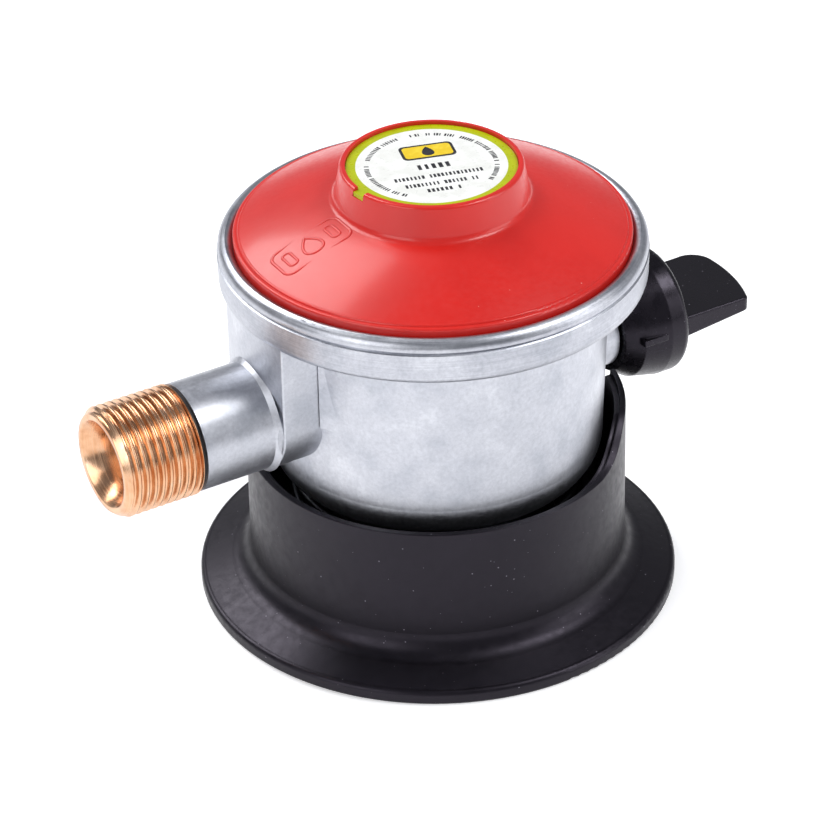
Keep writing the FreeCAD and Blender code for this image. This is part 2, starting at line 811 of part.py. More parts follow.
def spigot_gasket():
    """Flat fibre washer under the spigot's hexagon."""
    return tube(spigot_flange_r - 1.1, spigot_thread_r + GAP, socket_top - gasket_thick, socket_top)


def nose_o_ring():
    """Seal ring on the spigot's nose."""
    return torus(nose_groove_r + nose_seal_section + SEATED, nose_seal_section, V(0, 0, nose_seal_z))


def pin_o_ring():
    """Seal ring round the push pin's stem."""
    return torus((pin_r + pin_groove_r) / 2, pin_seal_section, V(0, 0, pin_seal_z))


def inlet_filter():
    """Wire gauze sleeve round the spigot's side ports."""
    return tube(spigot_thread_r + 0.6, spigot_thread_r + GAP, passage_z - 1.1, passage_z + 1.1)


def passage_plug():
    """Steel ball pressed into the end of the drilled gas passage."""
    return Part.makeSphere(plug_r, V(0, socket_outer - plug_r - SEATED, passage_z))


def push_pin():
    """Headed pin that the cam pushes down to open the cylinder valve."""
    return turned([
        rz(0, pin_tip_z),
        rz(pin_r - 0.5, pin_tip_z),
        rz(pin_r, pin_tip_z + 0.5),
        rz(pin_r, pin_head_low),
        rz(pin_head_r, pin_head_low),
        rz(pin_head_r, pin_top),
        rz(0, pin_top),
    ])


def push_pin_spring():
    """Small coil spring that lifts the pin back against the cam."""
    return coil(pin_spring_r, pin_wire_r, spigot_top, pin_head_low, pin_turns)


def xr(x, r, level):
    """A point of a profile that is turned about a line along X at a level."""
    return V(x, 0, level + r)


def cam_profile(half_length):
    """The cam's lobe: an involute, so that the pin falls in step with the knob's turn."""
    rate = pin_travel / math.radians(90)
    points = []
    steps = 10
    for i in range(steps + 1):
        turn = math.radians(-20 + 135 * i / steps)
        facing = -math.pi / 2 - turn
        reach = cam_low + rate * turn
        y = reach * math.cos(facing) + rate * math.sin(facing)
        z = reach * math.sin(facing) - rate * math.cos(facing)
        points.append(V(-half_length, y, shaft_z + z))
    curve = Part.BSplineCurve()
    curve.interpolate(points)
    centre = V(-half_length, 0, shaft_z)
    wire = Part.Wire([
        curve.toShape(),
        Part.LineSegment(points[-1], centre).toShape(),
        Part.LineSegment(centre, points[0]).toShape(),
    ])
    return Part.Face(wire).extrude(V(2 * half_length, 0, 0))


def knob_shaft():
    """Steel shaft: tail bearing, cam, seal groove, locking groove and a flat that drives the knob."""
    seal = seal_section_r + GAP
    slot = lock_pin_r + GAP
    slot_r = shaft_r - lock_pin_r - GAP
    body = turned([
        xr(cam_half_length, 0, shaft_z),
        xr(cam_half_length, shaft_r, shaft_z),
        xr(shaft_seal_x - seal, shaft_r, shaft_z),
        xr(shaft_seal_x - seal, groove_r, shaft_z),
        xr(shaft_seal_x + seal, groove_r, shaft_z),
        xr(shaft_seal_x + seal, shaft_r, shaft_z),
        xr(lock_pin_x - slot, shaft_r, shaft_z),
        xr(lock_pin_x - slot, slot_r, shaft_z),
        xr(lock_pin_x + slot, slot_r, shaft_z),
        xr(lock_pin_x + slot, shaft_r, shaft_z),
        xr(shaft_end_x - 0.5, shaft_r, shaft_z),
        xr(shaft_end_x, shaft_r - 0.5, shaft_z),
        xr(shaft_end_x, 0, shaft_z),
    ], V(0, 0, shaft_z), ALONG_X)
    flat = block(V(knob_back_x, -shaft_r, shaft_z + shaft_r - shaft_flat),
                 V(shaft_end_x + 1, shaft_r, shaft_z + shaft_r + 1))
    core = rod(cam_low - GAP, V(-cam_half_length, 0, shaft_z), V(cam_half_length, 0, shaft_z))
    journal = rod(shaft_r, V(shaft_inner_x, 0, shaft_z), V(-cam_half_length, 0, shaft_z))
    tail = rod(shaft_tail_r, V(shaft_inner_x - shaft_tail, 0, shaft_z), V(shaft_inner_x, 0, shaft_z))
    round_bar = rod(shaft_r, V(-shaft_end_x, 0, shaft_z), V(shaft_end_x, 0, shaft_z))
    cam = cam_profile(cam_half_length).common(round_bar)
    return body.cut(flat).fuse([core, cam, journal, tail])


def shaft_o_ring():
    """Seal ring in the shaft's groove."""
    return torus(groove_r + seal_section_r + SEATED, seal_section_r, V(shaft_seal_x, 0, shaft_z), ALONG_X)


def shaft_lock_pin():
    """Pin driven through the boss beside the shaft, in its groove."""
    half = lock_pin_length / 2
    return rod(lock_pin_r, V(lock_pin_x, shaft_r, shaft_z - half), V(lock_pin_x, shaft_r, shaft_z + half))


def knob():
    """Moulded knob: a barrel that widens outwards and a flat thumb blade."""
    barrel = turned([
        xr(knob_back_x, 0, shaft_z),
        xr(knob_back_x, knob_back_r, shaft_z),
        xr(knob_step_x, knob_step_r, shaft_z),
        xr(knob_full_x, knob_r, shaft_z),
        xr(knob_rim_x, knob_r, shaft_z),
        (xr(knob_rim_x + 0.9, knob_r - 0.45, shaft_z), xr(knob_face_x, knob_face_r, shaft_z)),
        xr(knob_face_x, 0, shaft_z),
    ], V(0, 0, shaft_z), ALONG_X)
    root_x = knob_full_x
    half = blade_half_width
    reach = 2 * half
    side = extruded([
        V(root_x, -reach, blade_top_z),
        V(blade_tip_x + 1, -reach, blade_top_z),
        V(blade_tip_x + 1, -reach, blade_top_z - blade_tip_thick),
        V(root_x, -reach, blade_top_z - blade_root_thick),
    ], V(0, 2 * reach, 0))
    outline = extruded([
        V(root_x, -half, 0),
        V(blade_tip_x - 3.3, -half, 0),
        (V(blade_tip_x - 2.6, -half + 0.25, 0), V(blade_tip_x - 2.2, -half + 0.9, 0)),
        (V(blade_tip_x - 0.1, 0.5, 0), V(blade_tip_x - 0.2, half - 4.2, 0)),
        (V(blade_tip_x - 1.9, half - 0.9, 0), V(blade_tip_x - 5.5, half, 0)),
        V(root_x, half, 0),
    ], V(0, 0, 2 * shaft_z))
    bore = rod(shaft_r + SEATED, V(knob_back_x - 1, 0, shaft_z), V(shaft_end_x + SEATED, 0, shaft_z))
    flat = block(V(knob_back_x - 1, -shaft_r, shaft_z + shaft_r - shaft_flat + SEATED),
                 V(shaft_end_x + 1, shaft_r, shaft_z + shaft_r + 1))
    rib = block(V(knob_step_x - 1, -knob_r, rib_z), V(knob_full_x - 1, 0, rib_z + rib_thick))
    rib = rib.common(rod(knob_r, V(knob_back_x, 0, shaft_z), V(knob_rim_x, 0, shaft_z)))
    body = barrel.fuse(side.common(outline)).removeSplitter().Solids[0]
    blade = [e for e in body.Edges if e.BoundBox.XMax > knob_face_x + 2]
    return body.makeFillet(blade_edge_round, blade).fuse(rib).cut(bore.cut(flat))


def outlet_nipple():
    """Turned brass nipple: smooth tail in the tube, male thread at its major diameter, coned mouth."""
    return turned([
        xr(-tail_end, outlet_bore_r, tube_z),
        xr(-tail_end, tail_r, tube_z),
        xr(-nipple_start, tail_r, tube_z),
        xr(-nipple_start, thread_r, tube_z),
        xr(-nipple_end + 1.25 * end_chamfer, thread_r, tube_z),
        xr(-nipple_end, thread_r - end_chamfer, tube_z),
        xr(-nipple_end, cone_mouth_r, tube_z),
        xr(-nipple_end + cone_depth, outlet_bore_r, tube_z),
    ], V(0, 0, tube_z), ALONG_X)


def nipple_seal():
    """Rubber washer between the cast tube and the nipple's shoulder."""
    outer = rod(seal_r, V(-nipple_start, 0, tube_z), V(-tube_end, 0, tube_z))
    return outer.cut(rod(tail_r + SEATED, V(-nipple_start - 1, 0, tube_z), V(-tube_end + 1, 0, tube_z)))


def ring_spring():
    """Large coil spring that holds the locking ring down."""
    return coil(ring_coil_r, ring_wire_r, web_top, shoulder_z, ring_turns)


def ring_clip():
    """Open snap ring in the socket's groove, under the locking ring's step."""
    ring = tube(clip_outer, socket_outer - clip_groove + SEATED, clip_z, clip_top)
    low = V(0, -clip_opening / 2, clip_z - 1)
    return ring.cut(block(low, V(2 * clip_outer, clip_opening / 2, clip_top + 1)))


def main():
    os.makedirs("parts", exist_ok=True)
    nodes = {
        "body_casting": body_casting(),
        "cover": cover(),
        "label_disc": label_disc(),
        "adjuster_screw": adjuster_screw(),
        "main_spring": main_spring(),
        "diaphragm": diaphragm(),
        "diaphragm_plate": diaphragm_plate(),
        "diaphragm_stem": diaphragm_stem(),
        "stem_nut": stem_nut(),
        "lever": lever(),
        "seat_pad": seat_pad(),
        "pivot_bracket": pivot_bracket(),
        "lever_pin": lever_pin(),
        "bracket_screws": bracket_screws(),
        "inlet_nozzle": inlet_nozzle(),
        "inlet_spigot": inlet_spigot(),
        "spigot_gasket": spigot_gasket(),
        "nose_o_ring": nose_o_ring(),
        "pin_o_ring": pin_o_ring(),
        "inlet_filter": inlet_filter(),
        "passage_plug": passage_plug(),
        "push_pin": push_pin(),
        "push_pin_spring": push_pin_spring(),
        "knob_shaft": knob_shaft(),
        "shaft_o_ring": shaft_o_ring(),
        "shaft_lock_pin": shaft_lock_pin(),
        "knob": knob(),
        "outlet_nipple": outlet_nipple(),
        "nipple_seal": nipple_seal(),
        "locking_ring": locking_ring(),
        "ring_spring": ring_spring(),
        "ring_clip": ring_clip(),
    }
    for i, (x, y) in enumerate(ball_directions()):
        nodes[f"lock_ball_{i + 1}"] = lock_ball(x, y)
    for name, shape in nodes.items():
        shape.exportStep(f"parts/{name}.step")
        print(f"{name:18} valid {shape.isValid()}  solids {len(shape.Solids)}  {shape.Volume:9.1f} mm3")


main()
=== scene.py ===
import math

import bmesh
import bpy
from mathutils import Matrix, Vector
from mathutils.bvhtree import BVHTree


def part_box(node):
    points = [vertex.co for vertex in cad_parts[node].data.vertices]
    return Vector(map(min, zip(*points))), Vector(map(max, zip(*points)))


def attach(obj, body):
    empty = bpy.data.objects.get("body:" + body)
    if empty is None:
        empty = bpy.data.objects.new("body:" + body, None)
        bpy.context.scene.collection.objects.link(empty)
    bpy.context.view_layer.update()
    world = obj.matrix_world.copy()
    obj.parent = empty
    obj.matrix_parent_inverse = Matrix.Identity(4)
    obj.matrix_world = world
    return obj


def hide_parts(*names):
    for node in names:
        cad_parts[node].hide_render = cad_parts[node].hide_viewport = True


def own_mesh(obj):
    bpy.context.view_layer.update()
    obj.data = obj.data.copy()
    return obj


bl_info = {
    "name": "Clip-on Gas Regulator",
    "version": (1, 0, 0),
    "blender": (4, 5, 0),
    "location": "3D View > Sidebar > Regulator",
    "description": "Builds the finished look of a clip-on gas cylinder regulator round its CAD frame",
    "category": "Object",
}

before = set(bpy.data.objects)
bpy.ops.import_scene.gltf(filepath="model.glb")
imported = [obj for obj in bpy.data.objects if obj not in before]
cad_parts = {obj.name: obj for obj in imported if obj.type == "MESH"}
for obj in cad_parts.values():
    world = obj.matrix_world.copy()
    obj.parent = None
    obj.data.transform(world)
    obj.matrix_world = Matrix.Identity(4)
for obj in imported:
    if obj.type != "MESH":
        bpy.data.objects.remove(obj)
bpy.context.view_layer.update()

MM = 0.001


def spot(node):
    """Middle of a CAD node's box."""
    low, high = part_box(node)
    return (low + high) / 2


def reach(node, axis):
    """Highest value of a CAD node along an axis, 0 to 2."""
    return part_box(node)[1][axis]


def foot(node, axis):
    """Lowest value of a CAD node along an axis, 0 to 2."""
    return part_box(node)[0][axis]


# Places that the pieces are built from, all read from the frame
TUBE_Z = spot("outlet_nipple").z
THREAD_R = (reach("outlet_nipple", 2) - foot("outlet_nipple", 2)) / 2
NIPPLE_END = foot("outlet_nipple", 0)
NIPPLE_TAIL = reach("outlet_nipple", 0)
SEAL_X = foot("nipple_seal", 0)
LABEL_TOP = reach("label_disc", 2)

# Outlet nipple: the sizes that its own solid has, and those that only the finished shape shows
TAIL_R = 7.0 * MM
BORE_R = 5.5 * MM
MOUTH_R = 7.9 * MM
CONE_DEPTH = 4.2 * MM
END_CHAMFER = 1.4 * MM
CHAMFER_SLOPE = 0.8
SHOULDER_WIDTH = 0.75 * MM
RUN_OUT = 0.55 * MM
ROUND_STEPS = 160
THREAD_STEPS = 151

# Rim: from this level up the casting is turned
RIM_LOW = 62.0 * MM

# Pressed mark on the cover: its middle, then each outline's width, height and corner
MARK_CENTRE = (-24.6 * MM, -0.6 * MM)
MARK_FRAME = (13.0 * MM, 7.0 * MM, 1.6 * MM)
MARK_DROP = (4.6 * MM, 4.8 * MM)
MARK_BAR = (1.5 * MM, 3.6 * MM, 0.6 * MM)
MARK_BAR_X = 4.2 * MM

# Label print
PRINT_THICK = 0.03 * MM
PRINT_LIFT = 0.005 * MM
PRINT_TILT = math.radians(-16.5)
ARC_R = 11.3 * MM
ARC_HEIGHT = 0.85 * MM
# Arcs of small print: start and sweep in degrees, dashes
PRINT_ARCS = ((-60, 138, 58), (92, 46, 18), (150, 66, 27))
# Rows under the badge: across, down, length and height in millimetres, dashes
PRINT_ROWS = (
    (0.3, -0.2, 5.0, 1.7, 5),
    (0.3, -3.6, 15.2, 1.15, 23),
    (0.2, -6.2, 12.4, 1.15, 19),
    (0.4, -8.5, 6.2, 1.15, 9),
)
BADGE_AT = Vector((0.6, 5.2)) * MM
BADGE = (9.6 * MM, 5.0 * MM, 1.0 * MM)
BADGE_PANEL = (8.6 * MM, 4.0 * MM, 0.7 * MM)
BADGE_DROP = (2.9 * MM, 3.2 * MM)

# Camera
CAMERA_DISTANCE = 700.66 * MM
CAMERA_AIM = Vector((-3.42, 2.02, 32.72)) * MM
CAMERA_LENS = 165.4


# ---------------------------------------------------------------- colours and materials

def linear(code):
    """A colour written as sRGB hex, as the linear numbers that the shaders use."""
    parts = [int(code[i:i + 2], 16) / 255 for i in (1, 3, 5)]
    return tuple(p / 12.92 if p <= 0.04045 else ((p + 0.055) / 1.055) ** 2.4 for p in parts)


def add(tree, kind, inputs=None, links=None, **settings):
    """Adds one node: its own settings, then values and links for its sockets, by name or number."""
    node = tree.nodes.new(kind)
    for key, value in settings.items():
        setattr(node, key, value)
    for key, value in (inputs or {}).items():
        node.inputs[key].default_value = value
    for key, source in (links or {}).items():
        tree.links.new(source, node.inputs[key])
    return node


def shader(name, colour, roughness, metallic=0.0):
    """A material with its Principled shader; returns the material, its tree and the shader."""
    material = bpy.data.materials.new(name)
    material.use_nodes = True
    tree = material.node_tree
    bsdf = tree.nodes["Principled BSDF"]
    bsdf.inputs["Base Color"].default_value = (*linear(colour), 1)
    bsdf.inputs["Roughness"].default_value = roughness
    bsdf.inputs["Metallic"].default_value = metallic
    return material, tree, bsdf


def ramp(tree, factor, stops, smooth=False):
    """A colour ramp over (place, sRGB hex) stops."""
    node = add(tree, "ShaderNodeValToRGB", links={"Fac": factor})
    node.color_ramp.interpolation = "EASE" if smooth else "LINEAR"
    cells = node.color_ramp.elements
    while len(cells) < len(stops):
        cells.new(0.5)
    for cell, (place, code) in zip(cells, stops):
        cell.position = place
        cell.color = (*linear(code), 1)
    return node.outputs["Color"]


def grey(tree, factor, low, high, to_low, to_high):
    """A number moved from one range to another, kept inside it."""
    node = add(tree, "ShaderNodeMapRange", links={"Value": factor}, inputs={
        "From Min": low, "From Max": high, "To Min": to_low, "To Max": to_high})
    return node.outputs["Result"]


def mix(tree, factor, first, second, blend="MIX", amount=None):
    """Two colours mixed; the factor is a socket, or a plain amount."""
    node = add(tree, "ShaderNodeMix", data_type="RGBA", blend_type=blend)
    for socket, value in ((node.inputs[0], factor), (node.inputs[6], first), (node.inputs[7], second)):
        if isinstance(value, bpy.types.NodeSocket):
            tree.links.new(value, socket)
        elif value is not None:
            socket.default_value = value if isinstance(value, float) else (*linear(value), 1)
    if amount is not None:
        node.inputs[0].default_value = amount
    return node.outputs[2]


def calc(tree, how, first, second=0.0):
    """One arithmetic step on two numbers or sockets."""
    node = add(tree, "ShaderNodeMath", operation=how)
    for socket, value in zip(node.inputs, (first, second)):
        if isinstance(value, bpy.types.NodeSocket):
            tree.links.new(value, socket)
        else:
            socket.default_value = value
    return node.outputs[0]


def noise(tree, place, size_mm, detail=2.0, rough=0.5):
    """Noise whose lumps are about size_mm across."""
    node = add(tree, "ShaderNodeTexNoise", links={"Vector": place}, inputs={
        "Scale": 1 / (size_mm * MM), "Detail": detail, "Roughness": rough})
    return node.outputs["Fac"]


def bump(tree, bsdf, height, depth_mm, strength=1.0, normal=None):
    """Raises the surface by height times depth_mm."""
    node = add(tree, "ShaderNodeBump", links={"Height": height}, inputs={
        "Distance": depth_mm * MM, "Strength": strength})
    if normal is not None:
        tree.links.new(normal, node.inputs["Normal"])
    tree.links.new(node.outputs["Normal"], bsdf.inputs["Normal"])
    return node.outputs["Normal"]


def place_of(tree):
    """The object's own coordinates, in metres."""
    return add(tree, "ShaderNodeTexCoord").outputs["Object"]


def shifted(tree, place, x=0.0, scale=(1, 1, 1)):
    """Coordinates moved along X and stretched."""
    node = add(tree, "ShaderNodeMapping", links={"Vector": place}, inputs={
        "Location": (x, 0, 0), "Scale": scale})
    return node.outputs["Vector"]


def separated(tree, place):
    """The X, Y and Z of a place, as sockets."""
    return add(tree, "ShaderNodeSeparateXYZ", links={"Vector": place}).outputs


def axis_distance(tree, place):
    """Distance from the Z axis."""
    x, y, _ = separated(tree, place)
    squares = calc(tree, "ADD", calc(tree, "MULTIPLY", x, x), calc(tree, "MULTIPLY", y, y))
    return calc(tree, "SQRT", squares)


def dust(tree, place, size_mm, share):
    """Sparse pale specks: the cells of a Voronoi pattern that hold one, as a mask."""
    cells = add(tree, "ShaderNodeTexVoronoi", links={"Vector": place}, inputs={"Scale": 1 / (size_mm * MM)})
    near = grey(tree, cells.outputs["Distance"], 0.04, 0.10, 1.0, 0.0)
    pick = add(tree, "ShaderNodeSeparateColor", links={"Color": cells.outputs["Color"]})
    chosen = calc(tree, "GREATER_THAN", pick.outputs[0], 1 - share)
    return calc(tree, "MULTIPLY", near, chosen)


def diecast_zinc(look):
    """Zinc alloy, cast and tumbled: soft grey, faintly clouded by the metal's flow, fine-grained."""
    material, tree, bsdf = shader("die-cast zinc, tumbled", look.casting, 0.38, 1.0)
    place = place_of(tree)
    clouds = noise(tree, place, 9.0, 4.0, 0.6)
    grain = noise(tree, place, 0.7, 3.0, 0.7)
    tone = ramp(tree, clouds, [
        (0.32, look.casting_dark), (0.52, look.casting), (0.70, look.casting_light)], True)
    grainy = ramp(tree, grain, [(0.3, "#9A9CA2"), (0.7, "#FFFFFF")])
    mottled = mix(tree, None, tone, grainy, "MULTIPLY", 0.30)
    # The rim is turned after casting: fine rings, brighter than the skin beside them
    height = separated(tree, place)[2]
    on_rim = grey(tree, height, RIM_LOW, RIM_LOW + 0.6 * MM, 0.0, 1.0)
    rings = noise(tree, shifted(tree, place, scale=(0.02, 0.02, 1.0)), 0.30, 2.0, 0.7)
    turned = ramp(tree, rings, [(0.3, "#9EA0A8"), (0.7, "#FFFFFF")])
    ringed = mix(tree, None, mottled, turned, "MULTIPLY", 0.35)
    colour = mix(tree, on_rim, mottled, ringed)
    tree.links.new(colour, bsdf.inputs["Base Color"])
    rough_skin = grey(tree, grain, 0.3, 0.7, 0.34, 0.44)
    rough_rim = grey(tree, rings, 0.3, 0.7, 0.30, 0.44)
    blend = calc(tree, "ADD", calc(tree, "MULTIPLY", rough_skin, calc(tree, "SUBTRACT", 1.0, on_rim)),
                 calc(tree, "MULTIPLY", rough_rim, on_rim))
    tree.links.new(blend, bsdf.inputs["Roughness"])
    # Orange-peel of the tumbled skin, then rings about 0.3 mm apart
    peel = calc(tree, "ADD", noise(tree, place, 3.2, 2.0), calc(tree, "MULTIPLY", grain, 0.5))
    skin = bump(tree, bsdf, peel, 0.03, 0.8)
    rim_lines = calc(tree, "MULTIPLY", rings, on_rim)
    bump(tree, bsdf, rim_lines, 0.012, 1.0, skin)
    return material


def powder_coat(look):
    """Satin powder coat on pressed metal: even red with a faint orange peel and soft highlights."""
    material, tree, bsdf = shader("red powder coat", look.cover_red, 0.34, 0.0)
    bsdf.inputs["Coat Weight"].default_value = 0.35
    bsdf.inputs["Coat Roughness"].default_value = 0.14
    bsdf.inputs["Specular IOR Level"].default_value = 0.42
    place = place_of(tree)
    patches = noise(tree, place, 14.0, 2.0)
    tone = ramp(tree, patches, [(0.3, look.cover_dark), (0.7, look.cover_red)], True)
    specks = dust(tree, place, 1.3, 0.05)
    colour = mix(tree, specks, tone, "#F2B8AE")
    tree.links.new(colour, bsdf.inputs["Base Color"])
    tree.links.new(grey(tree, noise(tree, place, 0.9, 2.0), 0.3, 0.7, 0.30, 0.40), bsdf.inputs["Roughness"])
    # Powder flows out into lumps about a millimetre across
    bump(tree, bsdf, noise(tree, place, 1.0, 1.5), 0.012, 0.7)
    return material


def moulded_nylon(name, look, gloss):
    """Black glass-filled nylon from a mould: near black, satin, with paler patches of painted sheen and
    sparse dust specks in its colour.
    """
    material, tree, bsdf = shader(name, look.plastic, gloss, 0.0)
    bsdf.inputs["Specular IOR Level"].default_value = 0.38
    bsdf.inputs["Specular Tint"].default_value = (*linear("#EADFF7"), 1)
    place = place_of(tree)
    # Paler patches about 12 mm across in the nylon's colour: painted sheen
    painted_sheen = noise(tree, place, 12.0, 3.0, 0.55)
    tone = ramp(tree, painted_sheen, [(0.3, look.plastic), (0.75, look.plastic_painted_sheen)], True)
    coarse, fine = dust(tree, place, 1.5, 0.22), dust(tree, shifted(tree, place, x=0.07), 0.8, 0.14)
    specks = calc(tree, "ADD", coarse, fine)
    colour = mix(tree, calc(tree, "MINIMUM", specks, 0.6), tone, "#8F8B96")
    tree.links.new(colour, bsdf.inputs["Base Color"])
    rough = grey(tree, noise(tree, place, 1.6, 3.0), 0.3, 0.7, gloss - 0.05, gloss + 0.08)
    tree.links.new(rough, bsdf.inputs["Roughness"])
    # Eases the moulded edges, then the fine grain that the mould leaves
    edge = add(tree, "ShaderNodeBevel", samples=6, inputs={"Radius": 0.35 * MM})
    bump(tree, bsdf, noise(tree, place, 0.7, 2.0), 0.010, 0.8, edge.outputs["Normal"])
    return material


def turned_brass(look, name="turned brass"):
    """Free-cutting brass off the lathe: pale orange, bright, with rings left by the tool."""
    material, tree, bsdf = shader(name, look.brass, 0.22, 1.0)
    place = place_of(tree)
    cuts = noise(tree, shifted(tree, place, scale=(1.0, 0.02, 0.02)), 0.22, 2.0, 0.7)
    stain = noise(tree, place, 5.0, 3.0, 0.6)
    tone = ramp(tree, stain, [(0.3, look.brass_deep), (0.6, look.brass), (0.8, look.brass_pale)], True)
    colour = mix(tree, None, tone, ramp(tree, cuts, [(0.3, "#C9A070"), (0.7, "#FFFFFF")]), "MULTIPLY", 0.35)
    tree.links.new(colour, bsdf.inputs["Base Color"])
    tree.links.new(grey(tree, cuts, 0.3, 0.7, 0.16, 0.32), bsdf.inputs["Roughness"])
    bump(tree, bsdf, cuts, 0.006)
    return material


def plain_metal(name, colour, dark, rough_low, rough_high, grain_mm):
    """Plated, drawn or ground metal: one tone with a fine grain that also breaks up its gloss."""
    material, tree, bsdf = shader(name, colour, rough_low, 1.0)
    place = place_of(tree)
    grain = noise(tree, place, grain_mm, 3.0, 0.6)
    tree.links.new(ramp(tree, grain, [(0.3, dark), (0.65, colour)], True), bsdf.inputs["Base Color"])
    tree.links.new(grey(tree, grain, 0.3, 0.7, rough_low, rough_high), bsdf.inputs["Roughness"])
    bump(tree, bsdf, grain, 0.004)
    return material


def soft_part(name, colour, light, roughness, grain_mm):
    """Rubber or fibre: matt, with a fine mottling."""
    material, tree, bsdf = shader(name, colour, roughness, 0.0)
    place = place_of(tree)
    grain = noise(tree, place, grain_mm, 3.0, 0.6)
    tree.links.new(ramp(tree, grain, [(0.3, colour), (0.75, light)], True), bsdf.inputs["Base Color"])
    tree.links.new(grey(tree, grain, 0.3, 0.7, roughness - 0.08, roughness + 0.08), bsdf.inputs["Roughness"])
    bump(tree, bsdf, grain, 0.01)
    return material


def printed_film(look):
    """Polyester label film: white with a lime ring at its edge and on its tab, semi-gloss."""
    material, tree, bsdf = shader("printed label film", "#F4F5F1", 0.30, 0.0)
    place = place_of(tree)
    edge, blur = look.label_field / 2, 0.04 * MM
    ring = grey(tree, axis_distance(tree, place), edge - blur, edge + blur, 0.0, 1.0)
    fibre = noise(tree, place, 3.0, 2.0)
    white = ramp(tree, fibre, [(0.3, "#ECEDE8"), (0.7, "#FAFBF8")], True)
    lime = ramp(tree, fibre, [(0.3, look.label_dark), (0.7, look.label_ring)], True)
    tree.links.new(mix(tree, ring, white, lime), bsdf.inputs["Base Color"])
    tree.links.new(grey(tree, noise(tree, place, 0.8, 2.0), 0.3, 0.7, 0.26, 0.34), bsdf.inputs["Roughness"])
    bump(tree, bsdf, fibre, 0.006)
    return material


def printing_ink(name, colour, light):
    """Screen-printed ink: flat colour with the faint unevenness of the print."""
    material, tree, bsdf = shader(name, colour, 0.38, 0.0)
    place = place_of(tree)
    tree.links.new(ramp(tree, noise(tree, place, 1.2, 2.0), [(0.35, colour), (0.8, light)], True),
                   bsdf.inputs["Base Color"])
    return material


def woven_gauze():
    """Stainless gauze: wires 0.35 mm apart, drawn coarse enough to show."""
    material, tree, bsdf = shader("stainless wire gauze", "#9A9CA0", 0.35, 1.0)
    place = place_of(tree)
    x, y, z = separated(tree, place)
    wires_around = 118.0
    wire_step = 0.35 * MM
    around = calc(tree, "SINE", calc(tree, "MULTIPLY", calc(tree, "ARCTAN2", y, x), wires_around))
    along = calc(tree, "SINE", calc(tree, "MULTIPLY", z, 2 * math.pi / wire_step))
    weave = calc(tree, "MAXIMUM", around, along)
    tree.links.new(ramp(tree, weave, [(0.2, "#2A2B2D"), (0.7, "#A4A6AA")]), bsdf.inputs["Base Color"])
    bump(tree, bsdf, weave, 0.05)
    return material


def dress(objects, material):
    """Gives objects one material over all their faces."""
    for item in objects:
        item.data.materials.clear()
        item.data.materials.append(material)
        for face in item.data.polygons:
            face.material_index = 0


# ---------------------------------------------------------------- mesh helpers

def new_object(name, mesh):
    """An object at the origin that holds a mesh."""
    made = bpy.data.objects.new(name, mesh)
    bpy.context.scene.collection.objects.link(made)
    return made


def settled(name, item):
    """A plain mesh object from an object's evaluated form; the source is removed."""
    bpy.context.view_layer.update()
    graph = bpy.context.evaluated_depsgraph_get()
    mesh = bpy.data.meshes.new_from_object(item.evaluated_get(graph))
    mesh.name = name
    bpy.data.objects.remove(item)
    return new_object(name, mesh)


def mesh_from(bm, name, crease_deg=35.0):
    """Finishes a bmesh: normals outwards, smooth except across sharp edges."""
    bmesh.ops.recalc_face_normals(bm, faces=bm.faces)
    mesh = bpy.data.meshes.new(name)
    bm.to_mesh(mesh)
    bm.free()
    smooth(mesh, crease_deg)
    return mesh


def smooth(mesh, crease_deg):
    """Shades a mesh smooth, and marks the edges sharper than the crease."""
    for face in mesh.polygons:
        face.use_smooth = True
    bm = bmesh.new()
    bm.from_mesh(mesh)
    for edge in bm.edges:
        if len(edge.link_faces) == 2 and edge.calc_face_angle(0) > math.radians(crease_deg):
            edge.smooth = False
    bm.to_mesh(mesh)
    bm.free()


def socket(group, name, kind, value):
    """A named input of a geometry node group."""
    made = group.interface.new_socket(name=name, in_out="INPUT", socket_type=kind)
    if value is not None:
        made.default_value = value


def grow(name, group, values):
    """Runs a geometry node group on an empty mesh and returns the plain object it makes."""
    item = new_object(name + ".source", bpy.data.meshes.new(name + ".source"))
    modifier = item.modifiers.new("Build", "NODES")
    modifier.node_group = group
    for entry in group.interface.items_tree:
        if entry.item_type == "SOCKET" and entry.in_out == "INPUT" and entry.name in values:
            modifier[entry.identifier] = values[entry.name]
    return settled(name, item)


def group_with(name, inputs):
    """A new geometry node group with its inputs, its input node and its output node."""
    group = bpy.data.node_groups.new(name, "GeometryNodeTree")
    group.interface.new_socket(name="Geometry", in_out="OUTPUT", socket_type="NodeSocketGeometry")
    for entry in inputs:
        socket(group, *entry)
    return group, add(group, "NodeGroupInput").outputs, add(group, "NodeGroupOutput")


def finish_group(group, out, geometry, material):
    """Ends a geometry node group in Realize Instances and Set Material."""
    real = add(group, "GeometryNodeRealizeInstances", links={0: geometry})
    last = add(group, "GeometryNodeSetMaterial", links={"Geometry": real.outputs[0], "Material": material})
    group.links.new(last.outputs[0], out.inputs[0])


# ---------------------------------------------------------------- what a user may change

